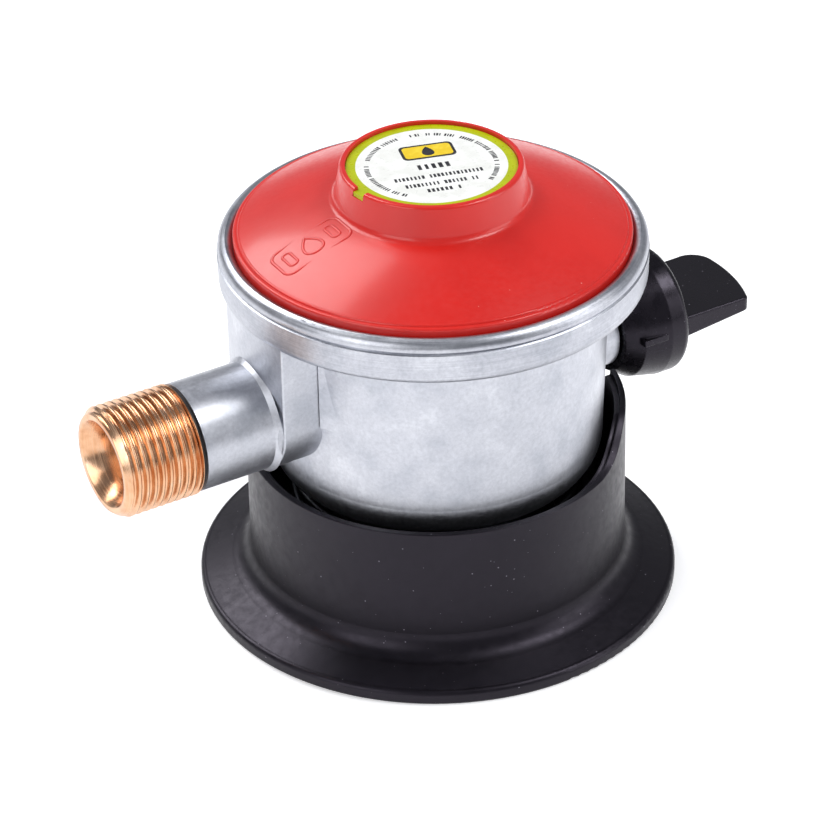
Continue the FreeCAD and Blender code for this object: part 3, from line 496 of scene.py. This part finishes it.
class RegulatorLook(bpy.types.PropertyGroup):
    """Sizes and colours of the finished regulator."""

    cover_red: bpy.props.StringProperty(
        name="Cover", description="Powder coat of the domed cover, as sRGB hex", default="#DC241C")
    cover_dark: bpy.props.StringProperty(
        name="Cover, thin places", description="Powder coat where it lies thinner, as sRGB hex",
        default="#D21E16")
    casting: bpy.props.StringProperty(
        name="Casting", description="Middle tone of the die-cast zinc, as sRGB hex", default="#CDCFD6")
    casting_dark: bpy.props.StringProperty(
        name="Casting, dark", description="Dark clouds in the die-cast zinc, as sRGB hex", default="#BFC2CA")
    casting_light: bpy.props.StringProperty(
        name="Casting, light", description="Light clouds in the die-cast zinc, as sRGB hex",
        default="#DCDEE4")
    plastic: bpy.props.StringProperty(
        name="Plastic", description="Black nylon of the ring and knob, as sRGB hex", default="#070608")
    # Paler tone of the black nylon, laid in patches: painted sheen
    plastic_painted_sheen: bpy.props.StringProperty(
        name="Plastic, painted sheen", description="Paler tone in the black nylon, as sRGB hex", default="#0D0B0F")
    brass: bpy.props.StringProperty(
        name="Brass", description="Middle tone of the turned brass, as sRGB hex", default="#EABF9C")
    brass_deep: bpy.props.StringProperty(
        name="Brass, deep", description="Darker stain on the turned brass, as sRGB hex", default="#D49F78")
    brass_pale: bpy.props.StringProperty(
        name="Brass, pale", description="Bright places on the turned brass, as sRGB hex", default="#F9E4D2")
    label_ring: bpy.props.StringProperty(
        name="Label ring", description="Lime ring at the label's edge, as sRGB hex", default="#B9C400")
    label_dark: bpy.props.StringProperty(
        name="Label ring, dark", description="Darker print in the lime ring, as sRGB hex", default="#AEBA04")
    ink: bpy.props.StringProperty(
        name="Ink", description="Dark print on the label, as sRGB hex", default="#1E1D22")
    label_field: bpy.props.FloatProperty(
        name="Label field", description="Diameter of the label's white field", default=26.4 * MM,
        min=10 * MM, max=29 * MM, unit="LENGTH")
    thread_pitch: bpy.props.FloatProperty(
        name="Thread pitch", description="Pitch of the outlet's male thread", default=1.5 * MM,
        min=0.5 * MM, max=3 * MM, unit="LENGTH")
    thread_depth: bpy.props.FloatProperty(
        name="Thread depth", description="Depth of the outlet's male thread", default=0.85 * MM,
        min=0.1 * MM, max=2 * MM, unit="LENGTH")
    mark_relief: bpy.props.FloatProperty(
        name="Mark relief", description="How far the pressed mark stands up from the cover",
        default=0.16 * MM, min=0.0, max=1 * MM, unit="LENGTH")
    camera_turn: bpy.props.FloatProperty(
        name="Camera turn", description="Camera's azimuth round the part", default=math.radians(-30.918),
        subtype="ANGLE")
    camera_rise: bpy.props.FloatProperty(
        name="Camera rise", description="Camera's elevation above the floor", default=math.radians(34.824),
        subtype="ANGLE")
    camera_roll: bpy.props.FloatProperty(
        name="Camera roll", description="Camera's turn about its own line of sight",
        default=math.radians(-1.115), subtype="ANGLE")


def nodes(*names):
    """CAD nodes by name."""
    return [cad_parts[name] for name in names]


# ---------------------------------------------------------------- pieces

class REGULATOR_OT_casting(bpy.types.Operator):
    """Die-cast housing with its turned rim"""

    bl_idname = "regulator.casting"
    bl_label = "Housing casting"

    def execute(self, context):
        look = context.scene.regulator_look
        dress(nodes("body_casting"), diecast_zinc(look))
        return {"FINISHED"}


def drop_outline(width, height, steps=40):
    """Outline of a flame-shaped drop, point upwards, centred on the origin."""
    points = []
    for i in range(steps):
        turn = 2 * math.pi * i / steps
        x = 0.5 * width * math.sin(turn) * math.sin(turn / 2) ** 1.1
        points.append((x, 0.5 * height * math.cos(turn)))
    return points


def bar_outline(x, y, width, height, corner, steps=6):
    """Outline of a rectangle with rounded corners."""
    points = []
    for k, (sx, sy) in enumerate(((1, 1), (-1, 1), (-1, -1), (1, -1))):
        for i in range(steps + 1):
            turn = math.pi / 2 * (k + i / steps)
            points.append((x + sx * (width / 2 - corner) + corner * math.cos(turn),
                           y + sy * (height / 2 - corner) + corner * math.sin(turn)))
    return points


def ridge(bm, outline, centre, half_width, height, surface):
    """A low round-topped ridge along a closed outline, laid on a surface; its foot is sunk in it."""
    count = len(outline)
    section = [(-1.0, -0.5), (-0.8, 0.45), (-0.35, 0.95), (0.35, 0.95), (0.8, 0.45), (1.0, -0.5)]
    rings = []
    for i in range(count):
        here = Vector(outline[i])
        along = (Vector(outline[(i + 1) % count]) - Vector(outline[i - 1])).normalized()
        side = Vector((-along.y, along.x))
        ring = []
        for across, up in section:
            flat = here + side * across * half_width + Vector(centre)
            hit = surface.ray_cast(Vector((flat.x, flat.y, 0.2)), Vector((0, 0, -1)))[0]
            ring.append(bm.verts.new((flat.x, flat.y, hit.z + up * height)))
        rings.append(ring)
    for i in range(count):
        a, b = rings[i], rings[(i + 1) % count]
        for k in range(len(section)):
            j = (k + 1) % len(section)
            bm.faces.new((a[k], b[k], b[j], a[j]))


class REGULATOR_OT_cover(bpy.types.Operator):
    """Red domed cover, with a plain pressed mark towards the outlet"""

    bl_idname = "regulator.cover"
    bl_label = "Cover"

    def execute(self, context):
        look = context.scene.regulator_look
        coat = powder_coat(look)
        dress(nodes("cover"), coat)
        surface = BVHTree.FromObject(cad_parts["cover"], context.evaluated_depsgraph_get())
        bm = bmesh.new()
        lines = [(bar_outline(0, 0, *MARK_FRAME), 0.32 * MM), (drop_outline(*MARK_DROP), 0.30 * MM)]
        lines += [(bar_outline(side * MARK_BAR_X, 0, *MARK_BAR), 0.28 * MM) for side in (-1, 1)]
        for outline, half_width in lines:
            ridge(bm, outline, MARK_CENTRE, half_width, look.mark_relief, surface)
        mark = new_object("cover_mark", mesh_from(bm, "cover_mark", 80))
        dress([mark], coat)
        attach(mark, "housing")
        return {"FINISHED"}


def dash_group(name, arc):
    """Short printed dashes of uneven length along an arc or a line, in place of small print."""
    group, given, out = group_with(name, [
        ("Radius", "NodeSocketFloat", 0.011), ("Start", "NodeSocketFloat", 0.0),
        ("Sweep", "NodeSocketFloat", 1.0), ("Count", "NodeSocketInt", 20),
        ("Thickness", "NodeSocketFloat", 0.0001), ("Height", "NodeSocketFloat", 0.001),
        ("Level", "NodeSocketFloat", 0.0), ("Centre", "NodeSocketVector", None),
        ("Seed", "NodeSocketInt", 1), ("Material", "NodeSocketMaterial", None),
    ])
    if arc:
        curve = add(group, "GeometryNodeCurveArc", mode="RADIUS", inputs={"Resolution": 96}, links={
            "Radius": given["Radius"], "Start Angle": given["Start"], "Sweep Angle": given["Sweep"]})
        line = curve.outputs["Curve"]
        length = calc(group, "MULTIPLY", given["Radius"], given["Sweep"])
    else:
        half = calc(group, "MULTIPLY", given["Radius"], 0.5)
        ends = [calc(group, "MULTIPLY", half, sign) for sign in (-1.0, 1.0)]
        starts = add(group, "ShaderNodeCombineXYZ", links={"X": ends[0]})
        stops = add(group, "ShaderNodeCombineXYZ", links={"X": ends[1]})
        curve = add(group, "GeometryNodeCurvePrimitiveLine", links={
            "Start": starts.outputs[0], "End": stops.outputs[0]})
        turned = add(group, "GeometryNodeTransform", links={0: curve.outputs[0]})
        angle = add(group, "ShaderNodeCombineXYZ", links={"Z": given["Start"]})
        group.links.new(angle.outputs[0], turned.inputs["Rotation"])
        line = turned.outputs[0]
        length = given["Radius"]
    points = add(group, "GeometryNodeCurveToPoints", mode="COUNT", links={
        "Curve": line, "Count": given["Count"]})
    step = calc(group, "DIVIDE", length, given["Count"])
    width = calc(group, "MULTIPLY", step, 0.74)
    # Curve to Points aims local Z along the line, so the dash lies along Z and stands up along X
    size = add(group, "ShaderNodeCombineXYZ", links={
        "X": given["Thickness"], "Y": given["Height"], "Z": width})
    block = add(group, "GeometryNodeMeshCube", links={"Size": size.outputs[0]})
    gap = add(group, "FunctionNodeRandomValue", data_type="BOOLEAN", inputs={"Probability": 0.86},
              links={"Seed": given["Seed"]})
    uneven = add(group, "FunctionNodeRandomValue", data_type="FLOAT", inputs={2: 0.55, 3: 1.0},
                 links={"Seed": given["Seed"]})
    scale = add(group, "ShaderNodeCombineXYZ", inputs={"X": 1.0, "Y": 1.0}, links={"Z": uneven.outputs[1]})
    flat = add(group, "FunctionNodeAlignRotationToVector", axis="X", pivot_axis="Z",
               inputs={"Vector": (0, 0, 1)}, links={"Rotation": points.outputs["Rotation"]})
    placed = add(group, "GeometryNodeInstanceOnPoints", links={
        "Points": points.outputs["Points"], "Selection": gap.outputs[3], "Instance": block.outputs["Mesh"],
        "Rotation": flat.outputs[0], "Scale": scale.outputs[0]})
    lifted = add(group, "ShaderNodeCombineXYZ", links={"Z": given["Level"]})
    total = add(group, "ShaderNodeVectorMath", operation="ADD", links={
        0: lifted.outputs[0], 1: given["Centre"]})
    moved = add(group, "GeometryNodeTransform", links={
        0: placed.outputs[0], "Translation": total.outputs[0]})
    finish_group(group, out, moved.outputs[0], given["Material"])
    return group


def joined(name, parts):
    """One object from several, in order."""
    bm = bmesh.new()
    slots = []
    for part in parts:
        mesh = part.data
        material = mesh.materials[mesh.polygons[0].material_index]
        if material not in slots:
            slots.append(material)
        first = len(bm.faces)
        bm.from_mesh(mesh)
        bm.faces.ensure_lookup_table()
        for face in bm.faces[first:]:
            face.material_index = slots.index(material)
        bpy.data.objects.remove(part)
    mesh = bpy.data.meshes.new(name)
    bm.to_mesh(mesh)
    bm.free()
    for material in slots:
        mesh.materials.append(material)
    return new_object(name, mesh)


def slab(name, outline, low, high, material):
    """A thin flat piece from an outline."""
    bm = bmesh.new()
    face = bm.faces.new([bm.verts.new((x, y, low)) for x, y in outline])
    up = bmesh.ops.extrude_face_region(bm, geom=[face])
    for vertex in up["geom"]:
        if isinstance(vertex, bmesh.types.BMVert):
            vertex.co.z = high
    made = new_object(name, mesh_from(bm, name))
    made.data.materials.append(material)
    return made


class REGULATOR_OT_label(bpy.types.Operator):
    """Printed label: white field, lime ring, plain marks in place of print"""

    bl_idname = "regulator.label"
    bl_label = "Label"

    def execute(self, context):
        look = context.scene.regulator_look
        dress(nodes("label_disc"), printed_film(look))
        ink = printing_ink("black label ink", look.ink, "#34333A")
        yellow = printing_ink("yellow label ink", "#EBC81E", "#F5D93C")
        level = LABEL_TOP + PRINT_LIFT
        rows, arcs = dash_group("Label rows", False), dash_group("Label arcs", True)
        shared = {"Thickness": PRINT_THICK, "Level": level, "Material": ink}
        parts = []
        for seed, (start, sweep, count) in enumerate(PRINT_ARCS):
            parts.append(grow(f"arc_{seed}", arcs, {
                "Radius": ARC_R, "Start": math.radians(start), "Sweep": math.radians(sweep), "Count": count,
                "Height": ARC_HEIGHT, "Centre": (0, 0, 0), "Seed": seed + 3, **shared}))
        turn = Matrix.Rotation(PRINT_TILT, 2)
        for seed, (across, down, length, height, count) in enumerate(PRINT_ROWS):
            x, y = turn @ Vector((across, down))
            parts.append(grow(f"row_{seed}", rows, {
                "Radius": length * MM, "Start": PRINT_TILT, "Sweep": 1.0, "Count": count,
                "Height": height * MM, "Centre": (x * MM, y * MM, 0), "Seed": seed + 11, **shared}))

        def laid(outline):
            return [tuple(turn @ (Vector(point) + BADGE_AT)) for point in outline]

        low = LABEL_TOP - 0.01 * MM
        for name, outline, layers, material in (
                ("badge", bar_outline(0, 0, *BADGE), 0.5, ink),
                ("panel", bar_outline(0, 0, *BADGE_PANEL), 1.0, yellow),
                ("drop", drop_outline(*BADGE_DROP), 1.5, ink)):
            parts.append(slab(name, laid(outline), low, level + layers * PRINT_THICK, material))
        print_marks = joined("label_print", parts)
        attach(print_marks, "housing")
        return {"FINISHED"}


def thread_group():
    """A screw thread: a sheet rolled round a line, its radius rising and falling along a helix."""
    group, given, out = group_with("Outlet thread", [
        ("Length", "NodeSocketFloat", 0.012), ("Radius", "NodeSocketFloat", 0.01),
        ("Depth", "NodeSocketFloat", 0.0009), ("Pitch", "NodeSocketFloat", 0.0015),
        ("Run-out", "NodeSocketFloat", 0.0006), ("Chamfer", "NodeSocketFloat", 0.0012),
        ("Start", "NodeSocketFloat", 0.0), ("Level", "NodeSocketFloat", 0.0),
        ("Around", "NodeSocketInt", 161), ("Along", "NodeSocketInt", 121),
        ("Material", "NodeSocketMaterial", None),
    ])
    sheet = add(group, "GeometryNodeMeshGrid", inputs={"Size Y": 2 * math.pi}, links={
        "Size X": given["Length"], "Vertices X": given["Along"], "Vertices Y": given["Around"]})
    here = add(group, "GeometryNodeInputPosition")
    parts = add(group, "ShaderNodeSeparateXYZ", links={0: here.outputs[0]})
    along = calc(group, "ADD", parts.outputs["X"], calc(group, "MULTIPLY", given["Length"], 0.5))
    angle = parts.outputs["Y"]
    turns = calc(group, "ADD", calc(group, "DIVIDE", along, given["Pitch"]),
                 calc(group, "DIVIDE", angle, 2 * math.pi))
    saw = calc(group, "PINGPONG", turns, 0.5)
    # Narrow flat crest, then a flank that eases into a rounded root
    groove = add(group, "ShaderNodeMapRange", interpolation_type="SMOOTHSTEP", links={"Value": saw}, inputs={
        "From Min": 0.05, "From Max": 0.43, "To Min": 0.0, "To Max": 1.0}).outputs["Result"]
    from_end = calc(group, "DIVIDE", calc(group, "SUBTRACT", given["Length"], along), given["Run-out"])
    faded = calc(group, "MULTIPLY", groove, calc(group, "MINIMUM", from_end, 1.0))
    cut = calc(group, "MULTIPLY", faded, given["Depth"])
    # The chamfer takes the thread down to its root at the outer end
    short = calc(group, "MAXIMUM", calc(group, "SUBTRACT", given["Chamfer"], along), 0.0)
    taper = calc(group, "MULTIPLY", short, CHAMFER_SLOPE)
    radius = calc(group, "SUBTRACT", given["Radius"], calc(group, "MAXIMUM", cut, taper))
    y = calc(group, "MULTIPLY", radius, calc(group, "COSINE", angle))
    z = calc(group, "ADD", calc(group, "MULTIPLY", radius, calc(group, "SINE", angle)), given["Level"])
    place = add(group, "ShaderNodeCombineXYZ", links={
        "X": calc(group, "ADD", along, given["Start"]), "Y": y, "Z": z})
    rolled = add(group, "GeometryNodeSetPosition", links={
        "Geometry": sheet.outputs[0], "Position": place.outputs[0]})
    sealed = add(group, "GeometryNodeMergeByDistance", inputs={"Distance": 1e-6}, links={
        "Geometry": rolled.outputs[0]})
    finish_group(group, out, sealed.outputs[0], given["Material"])
    return group


class REGULATOR_OT_outlet(bpy.types.Operator):
    """Brass outlet nipple with its male thread and coned mouth, and the washer behind it"""

    bl_idname = "regulator.outlet"
    bl_label = "Outlet"

    def execute(self, context):
        look = context.scene.regulator_look
        brass = turned_brass(look, "turned brass, outlet")
        start = NIPPLE_END + 0.04 * MM
        stop = SEAL_X - SHOULDER_WIDTH
        thread = grow("thread", thread_group(), {
            "Length": stop - start, "Radius": THREAD_R,
            "Depth": look.thread_depth, "Pitch": look.thread_pitch,
            "Run-out": RUN_OUT, "Chamfer": END_CHAMFER, "Start": start, "Level": TUBE_Z,
            "Around": ROUND_STEPS + 1, "Along": THREAD_STEPS, "Material": brass})
        bm = bmesh.new()
        bm.from_mesh(thread.data)
        bpy.data.objects.remove(thread)
        face_r = THREAD_R - CHAMFER_SLOPE * END_CHAMFER
        # From the thread's inner end round the tail, bore, cone and face, back to its outer end
        profile = [
            (stop, THREAD_R), (stop + 0.12 * MM, THREAD_R - 0.5 * MM),
            (SEAL_X - 0.30 * MM, THREAD_R - 0.7 * MM), (SEAL_X - 0.22 * MM, THREAD_R - 0.12 * MM),
            (SEAL_X - 0.12 * MM, THREAD_R - 0.02 * MM), (SEAL_X, THREAD_R - 0.15 * MM),
            (SEAL_X, TAIL_R), (NIPPLE_TAIL - 0.4 * MM, TAIL_R), (NIPPLE_TAIL, TAIL_R - 0.4 * MM),
            (NIPPLE_TAIL, BORE_R), (NIPPLE_END + CONE_DEPTH, BORE_R),
            (NIPPLE_END + 0.12 * MM, MOUTH_R - 0.08 * MM), (NIPPLE_END, MOUTH_R + 0.06 * MM),
            (NIPPLE_END, face_r - 0.04 * MM), (start, face_r),
        ]
        open_lathe(bm, profile, TUBE_Z, ROUND_STEPS)
        bmesh.ops.remove_doubles(bm, verts=bm.verts, dist=2e-6)
        nipple = new_object("outlet_fitting", mesh_from(bm, "outlet_fitting", 50))
        dress([nipple], brass)
        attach(nipple, "housing")
        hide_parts("outlet_nipple")
        rubber = soft_part("nitrile rubber, moulded", "#141316", "#211F23", 0.55, 1.2)
        dress(nodes("nipple_seal"), rubber)
        return {"FINISHED"}


def open_lathe(bm, profile, centre_z, segments):
    """Turns an open profile about the line along X; its two ends join what is there already."""
    rings = []
    for along, r in profile:
        # The sheet that it joins runs from minus pi to pi
        angles = [-math.pi + 2 * math.pi * i / segments for i in range(segments)]
        rings.append([bm.verts.new((along, r * math.cos(t), centre_z + r * math.sin(t))) for t in angles])
    for low, high in zip(rings, rings[1:]):
        for i in range(segments):
            j = (i + 1) % segments
            bm.faces.new((low[i], low[j], high[j], high[i]))


class REGULATOR_OT_ring(bpy.types.Operator):
    """Black locking ring, the snap ring under it and the lock balls"""

    bl_idname = "regulator.ring"
    bl_label = "Locking ring"

    def execute(self, context):
        look = context.scene.regulator_look
        dress(nodes("locking_ring"), moulded_nylon("black nylon, moulded", look, 0.36))
        blued = plain_metal("spring steel, blued", "#7E8086", "#5C5E66", 0.28, 0.42, 0.8)
        dress(nodes("ring_clip"), blued)
        steel = plain_metal("ball-bearing steel, ground", "#C9CBCF", "#B9BBC0", 0.08, 0.14, 0.6)
        dress(nodes(*[f"lock_ball_{i}" for i in range(1, 7)]), steel)
        return {"FINISHED"}


def coil_group():
    """A coil spring: a round wire along a helix."""
    group, given, out = group_with("Coil spring", [
        ("Radius", "NodeSocketFloat", 0.02), ("Wire", "NodeSocketFloat", 0.001),
        ("Height", "NodeSocketFloat", 0.02), ("Turns", "NodeSocketFloat", 5.0),
        ("Level", "NodeSocketFloat", 0.0), ("Steps", "NodeSocketInt", 64),
        ("Material", "NodeSocketMaterial", None),
    ])
    helix = add(group, "GeometryNodeCurveSpiral", links={
        "Resolution": given["Steps"], "Rotations": given["Turns"], "Start Radius": given["Radius"],
        "End Radius": given["Radius"], "Height": given["Height"]})
    wire = add(group, "GeometryNodeCurvePrimitiveCircle", inputs={"Resolution": 12}, links={
        "Radius": given["Wire"]})
    body = add(group, "GeometryNodeCurveToMesh", inputs={"Fill Caps": True}, links={
        "Curve": helix.outputs[0], "Profile Curve": wire.outputs[0]})
    shade = add(group, "GeometryNodeSetShadeSmooth", links={"Geometry": body.outputs[0]})
    up = add(group, "ShaderNodeCombineXYZ", links={"Z": given["Level"]})
    moved = add(group, "GeometryNodeTransform", links={
        0: shade.outputs[0], "Translation": up.outputs[0]})
    finish_group(group, out, moved.outputs[0], given["Material"])
    return group


COIL_STEPS = 72
# Piece, node, turns, wire radius, joint, level that stays, share of its height left at the joint's limit
SPRINGS = (
    ("ring_coil", "ring_spring", 5.0, 0.7 * MM, "ring_lift", reach("ring_spring", 2), 0.782),
    ("main_coil", "main_spring", 3.0, 0.9 * MM, "diaphragm_rise", reach("main_spring", 2), 0.871),
    ("pin_coil", "push_pin_spring", 4.0, 0.25 * MM, "pin_push", foot("push_pin_spring", 2), 0.571),
)


class REGULATOR_OT_springs(bpy.types.Operator):
    """The ring's, the diaphragm's and the push pin's coil springs"""

    bl_idname = "regulator.springs"
    bl_label = "Coil springs"

    def execute(self, context):
        wire_steel = plain_metal("music wire, phosphated", "#4A4B50", "#333438", 0.36, 0.50, 0.7)
        group = coil_group()
        for name, node, turns, wire, joint, still, keep in SPRINGS:
            low, high = foot(node, 2), reach(node, 2)
            coil = grow(name, group, {
                "Radius": reach(node, 0) - wire, "Wire": wire, "Height": high - low - 2 * wire,
                "Turns": turns, "Level": low + wire, "Steps": COIL_STEPS, "Material": wire_steel})
            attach(coil, "housing")
            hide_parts(node)
            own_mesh(coil)
        return {"FINISHED"}


class REGULATOR_OT_knob(bpy.types.Operator):
    """Thumb knob, its steel shaft and locking pin"""

    bl_idname = "regulator.knob"
    bl_label = "Knob"

    def execute(self, context):
        look = context.scene.regulator_look
        dress(nodes("knob"), moulded_nylon("black nylon, polished mould", look, 0.27))
        plated = plain_metal("zinc-plated steel, turned", "#B9BBC0", "#A2A5AC", 0.22, 0.34, 0.6)
        drawn = plain_metal("spring steel, drawn", "#8A8C92", "#6E7076", 0.25, 0.38, 0.6)
        dress(nodes("knob_shaft"), plated)
        dress(nodes("shaft_lock_pin"), drawn)
        return {"FINISHED"}


class REGULATOR_OT_inlet(bpy.types.Operator):
    """Brass spigot in the socket, with its washer, seal rings, gauze and push pin"""

    bl_idname = "regulator.inlet"
    bl_label = "Inlet"

    def execute(self, context):
        look = context.scene.regulator_look
        dress(nodes("inlet_spigot", "push_pin", "inlet_nozzle"), turned_brass(look))
        dress(nodes("nose_o_ring", "pin_o_ring", "shaft_o_ring"),
              soft_part("nitrile rubber, seal ring", "#121114", "#1D1B1F", 0.45, 0.8))
        dress(nodes("spigot_gasket"), soft_part("vulcanised fibre, red", "#7E2F22", "#934033", 0.62, 1.0))
        dress(nodes("inlet_filter"), woven_gauze())
        dress(nodes("passage_plug"), plain_metal("steel ball, ground", "#C4C6CA", "#B4B6BB", 0.10, 0.16, 0.6))
        return {"FINISHED"}


class REGULATOR_OT_works(bpy.types.Operator):
    """Diaphragm, lever, bracket and adjuster inside the housing"""

    bl_idname = "regulator.works"
    bl_label = "Inner works"

    def execute(self, context):
        dress(nodes("diaphragm"), soft_part("nitrile rubber, fabric backed", "#1A191B", "#29272A", 0.6, 0.9))
        dress(nodes("seat_pad"), soft_part("nitrile rubber, seat", "#161518", "#232125", 0.5, 0.8))
        dress(nodes("diaphragm_stem", "lever", "adjuster_screw"),
              plain_metal("aluminium, turned", "#CFD1D4", "#BABCC1", 0.26, 0.40, 0.7))
        dress(nodes("diaphragm_plate", "stem_nut", "pivot_bracket", "bracket_screws"),
              plain_metal("zinc-plated steel, pressed", "#BDBFB8", "#A5A8A6", 0.26, 0.40, 0.8))
        dress(nodes("lever_pin"), plain_metal("silver steel, ground", "#B9BBBF", "#A6A8AD", 0.14, 0.22, 0.6))
        return {"FINISHED"}


# ---------------------------------------------------------------- stage

class REGULATOR_OT_stage(bpy.types.Operator):
    """Pale floor, soft studio light and the camera"""

    bl_idname = "regulator.stage"
    bl_label = "Stage"

    def execute(self, context):
        look = context.scene.regulator_look
        make_floor()
        make_lights(context.scene)
        make_camera(context.scene, look)
        return {"FINISHED"}


FLOOR_HALF = 3.0


def make_floor():
    """A large pale floor under the part."""
    bm = bmesh.new()
    bmesh.ops.create_grid(bm, x_segments=1, y_segments=1, size=FLOOR_HALF)
    floor = new_object("floor", mesh_from(bm, "floor"))
    material, tree, bsdf = shader("pale studio floor", "#F4F4F5", 0.65)
    bsdf.inputs["Specular IOR Level"].default_value = 0.2
    bsdf.inputs["Emission Color"].default_value = (*linear("#FFFFFF"), 1)
    bsdf.inputs["Emission Strength"].default_value = 0.40
    tone = ramp(tree, noise(tree, place_of(tree), 60.0, 2.0), [(0.3, "#F2F2F3"), (0.7, "#F6F6F7")], True)
    tree.links.new(tone, bsdf.inputs["Base Color"])
    dress([floor], material)


LIGHT_AIM = (0, 0, 0.04)
# Name, place, width, height, watts
PANELS = (
    ("cover light, behind at the left", (-0.26, 0.80, 0.95), 0.70, 0.85, 10.5),
    ("key light, high at the front", (0.50, -0.40, 0.98), 0.50, 0.40, 5.2),
    ("left fill", (-1.05, -0.35, 0.55), 0.7, 0.8, 4.4),
    ("right fill", (0.90, -0.80, 0.45), 0.7, 0.7, 3.6),
)


def panel(name, place, width, height, watts):
    """A soft white rectangular light aimed at the part."""
    data = bpy.data.lights.new(name, "AREA")
    data.shape = "RECTANGLE"
    data.size = width
    data.size_y = height
    data.energy = watts
    lamp = bpy.data.objects.new(name, data)
    bpy.context.scene.collection.objects.link(lamp)
    lamp.location = place
    lamp.rotation_euler = (Vector(LIGHT_AIM) - Vector(place)).to_track_quat("-Z", "Y").to_euler()


def make_lights(scene):
    """A pale surround with four soft panels: over the cover from behind, high in front, one at each side."""
    world = bpy.data.worlds.new("studio")
    world.use_nodes = True
    scene.world = world
    tree = world.node_tree
    background = tree.nodes["Background"]
    height = separated(tree, add(tree, "ShaderNodeTexCoord").outputs["Generated"])[2]
    shade = ramp(tree, grey(tree, height, -0.1, 1.0, 0.0, 1.0),
                 [(0.0, "#C4C6CC"), (0.2, "#A6A9B2"), (0.45, "#D4D6DC"), (0.75, "#B6B9C2"), (1.0, "#9A9DA8")])
    tree.links.new(shade, background.inputs["Color"])
    background.inputs["Strength"].default_value = 0.48
    for entry in PANELS:
        panel(*entry)


def make_camera(scene, look):
    """The camera: far off, with a long lens, looking down at the part's middle."""
    data = bpy.data.cameras.new("camera")
    data.sensor_width = 36.0
    data.lens = CAMERA_LENS
    data.clip_start, data.clip_end = 0.01, 20
    camera = bpy.data.objects.new("camera", data)
    scene.collection.objects.link(camera)
    back = Vector((math.sin(look.camera_turn) * math.cos(look.camera_rise),
                   -math.cos(look.camera_turn) * math.cos(look.camera_rise), math.sin(look.camera_rise)))
    place = back * CAMERA_DISTANCE
    aimed = (CAMERA_AIM - place).to_track_quat("-Z", "Y").to_matrix().to_4x4()
    camera.matrix_world = Matrix.Translation(place) @ aimed @ Matrix.Rotation(look.camera_roll, 4, "Z")
    scene.camera = camera
    scene.view_settings.view_transform = "Standard"


# ---------------------------------------------------------------- panel and registration

STEPS = (
    REGULATOR_OT_casting, REGULATOR_OT_cover, REGULATOR_OT_label, REGULATOR_OT_outlet, REGULATOR_OT_ring,
    REGULATOR_OT_springs, REGULATOR_OT_knob, REGULATOR_OT_inlet, REGULATOR_OT_works, REGULATOR_OT_stage,
)


class REGULATOR_PT_build(bpy.types.Panel):
    """Lists the regulator's pieces and settings"""

    bl_idname = "REGULATOR_PT_build"
    bl_label = "Clip-on regulator"
    bl_space_type = "VIEW_3D"
    bl_region_type = "UI"
    bl_category = "Regulator"

    def draw(self, context):
        column = self.layout.column()
        for step in STEPS:
            column.operator(step.bl_idname)
        for name in RegulatorLook.__annotations__:
            column.prop(context.scene.regulator_look, name)


CLASSES = (RegulatorLook, *STEPS, REGULATOR_PT_build)


def register():
    for entry in CLASSES:
        bpy.utils.register_class(entry)
    bpy.types.Scene.regulator_look = bpy.props.PointerProperty(type=RegulatorLook)


def unregister():
    del bpy.types.Scene.regulator_look
    for entry in reversed(CLASSES):
        bpy.utils.unregister_class(entry)


def main():
    register()
    for step in STEPS:
        family, name = step.bl_idname.split(".")
        getattr(getattr(bpy.ops, family), name)()


if __name__ == "__main__":
    main()
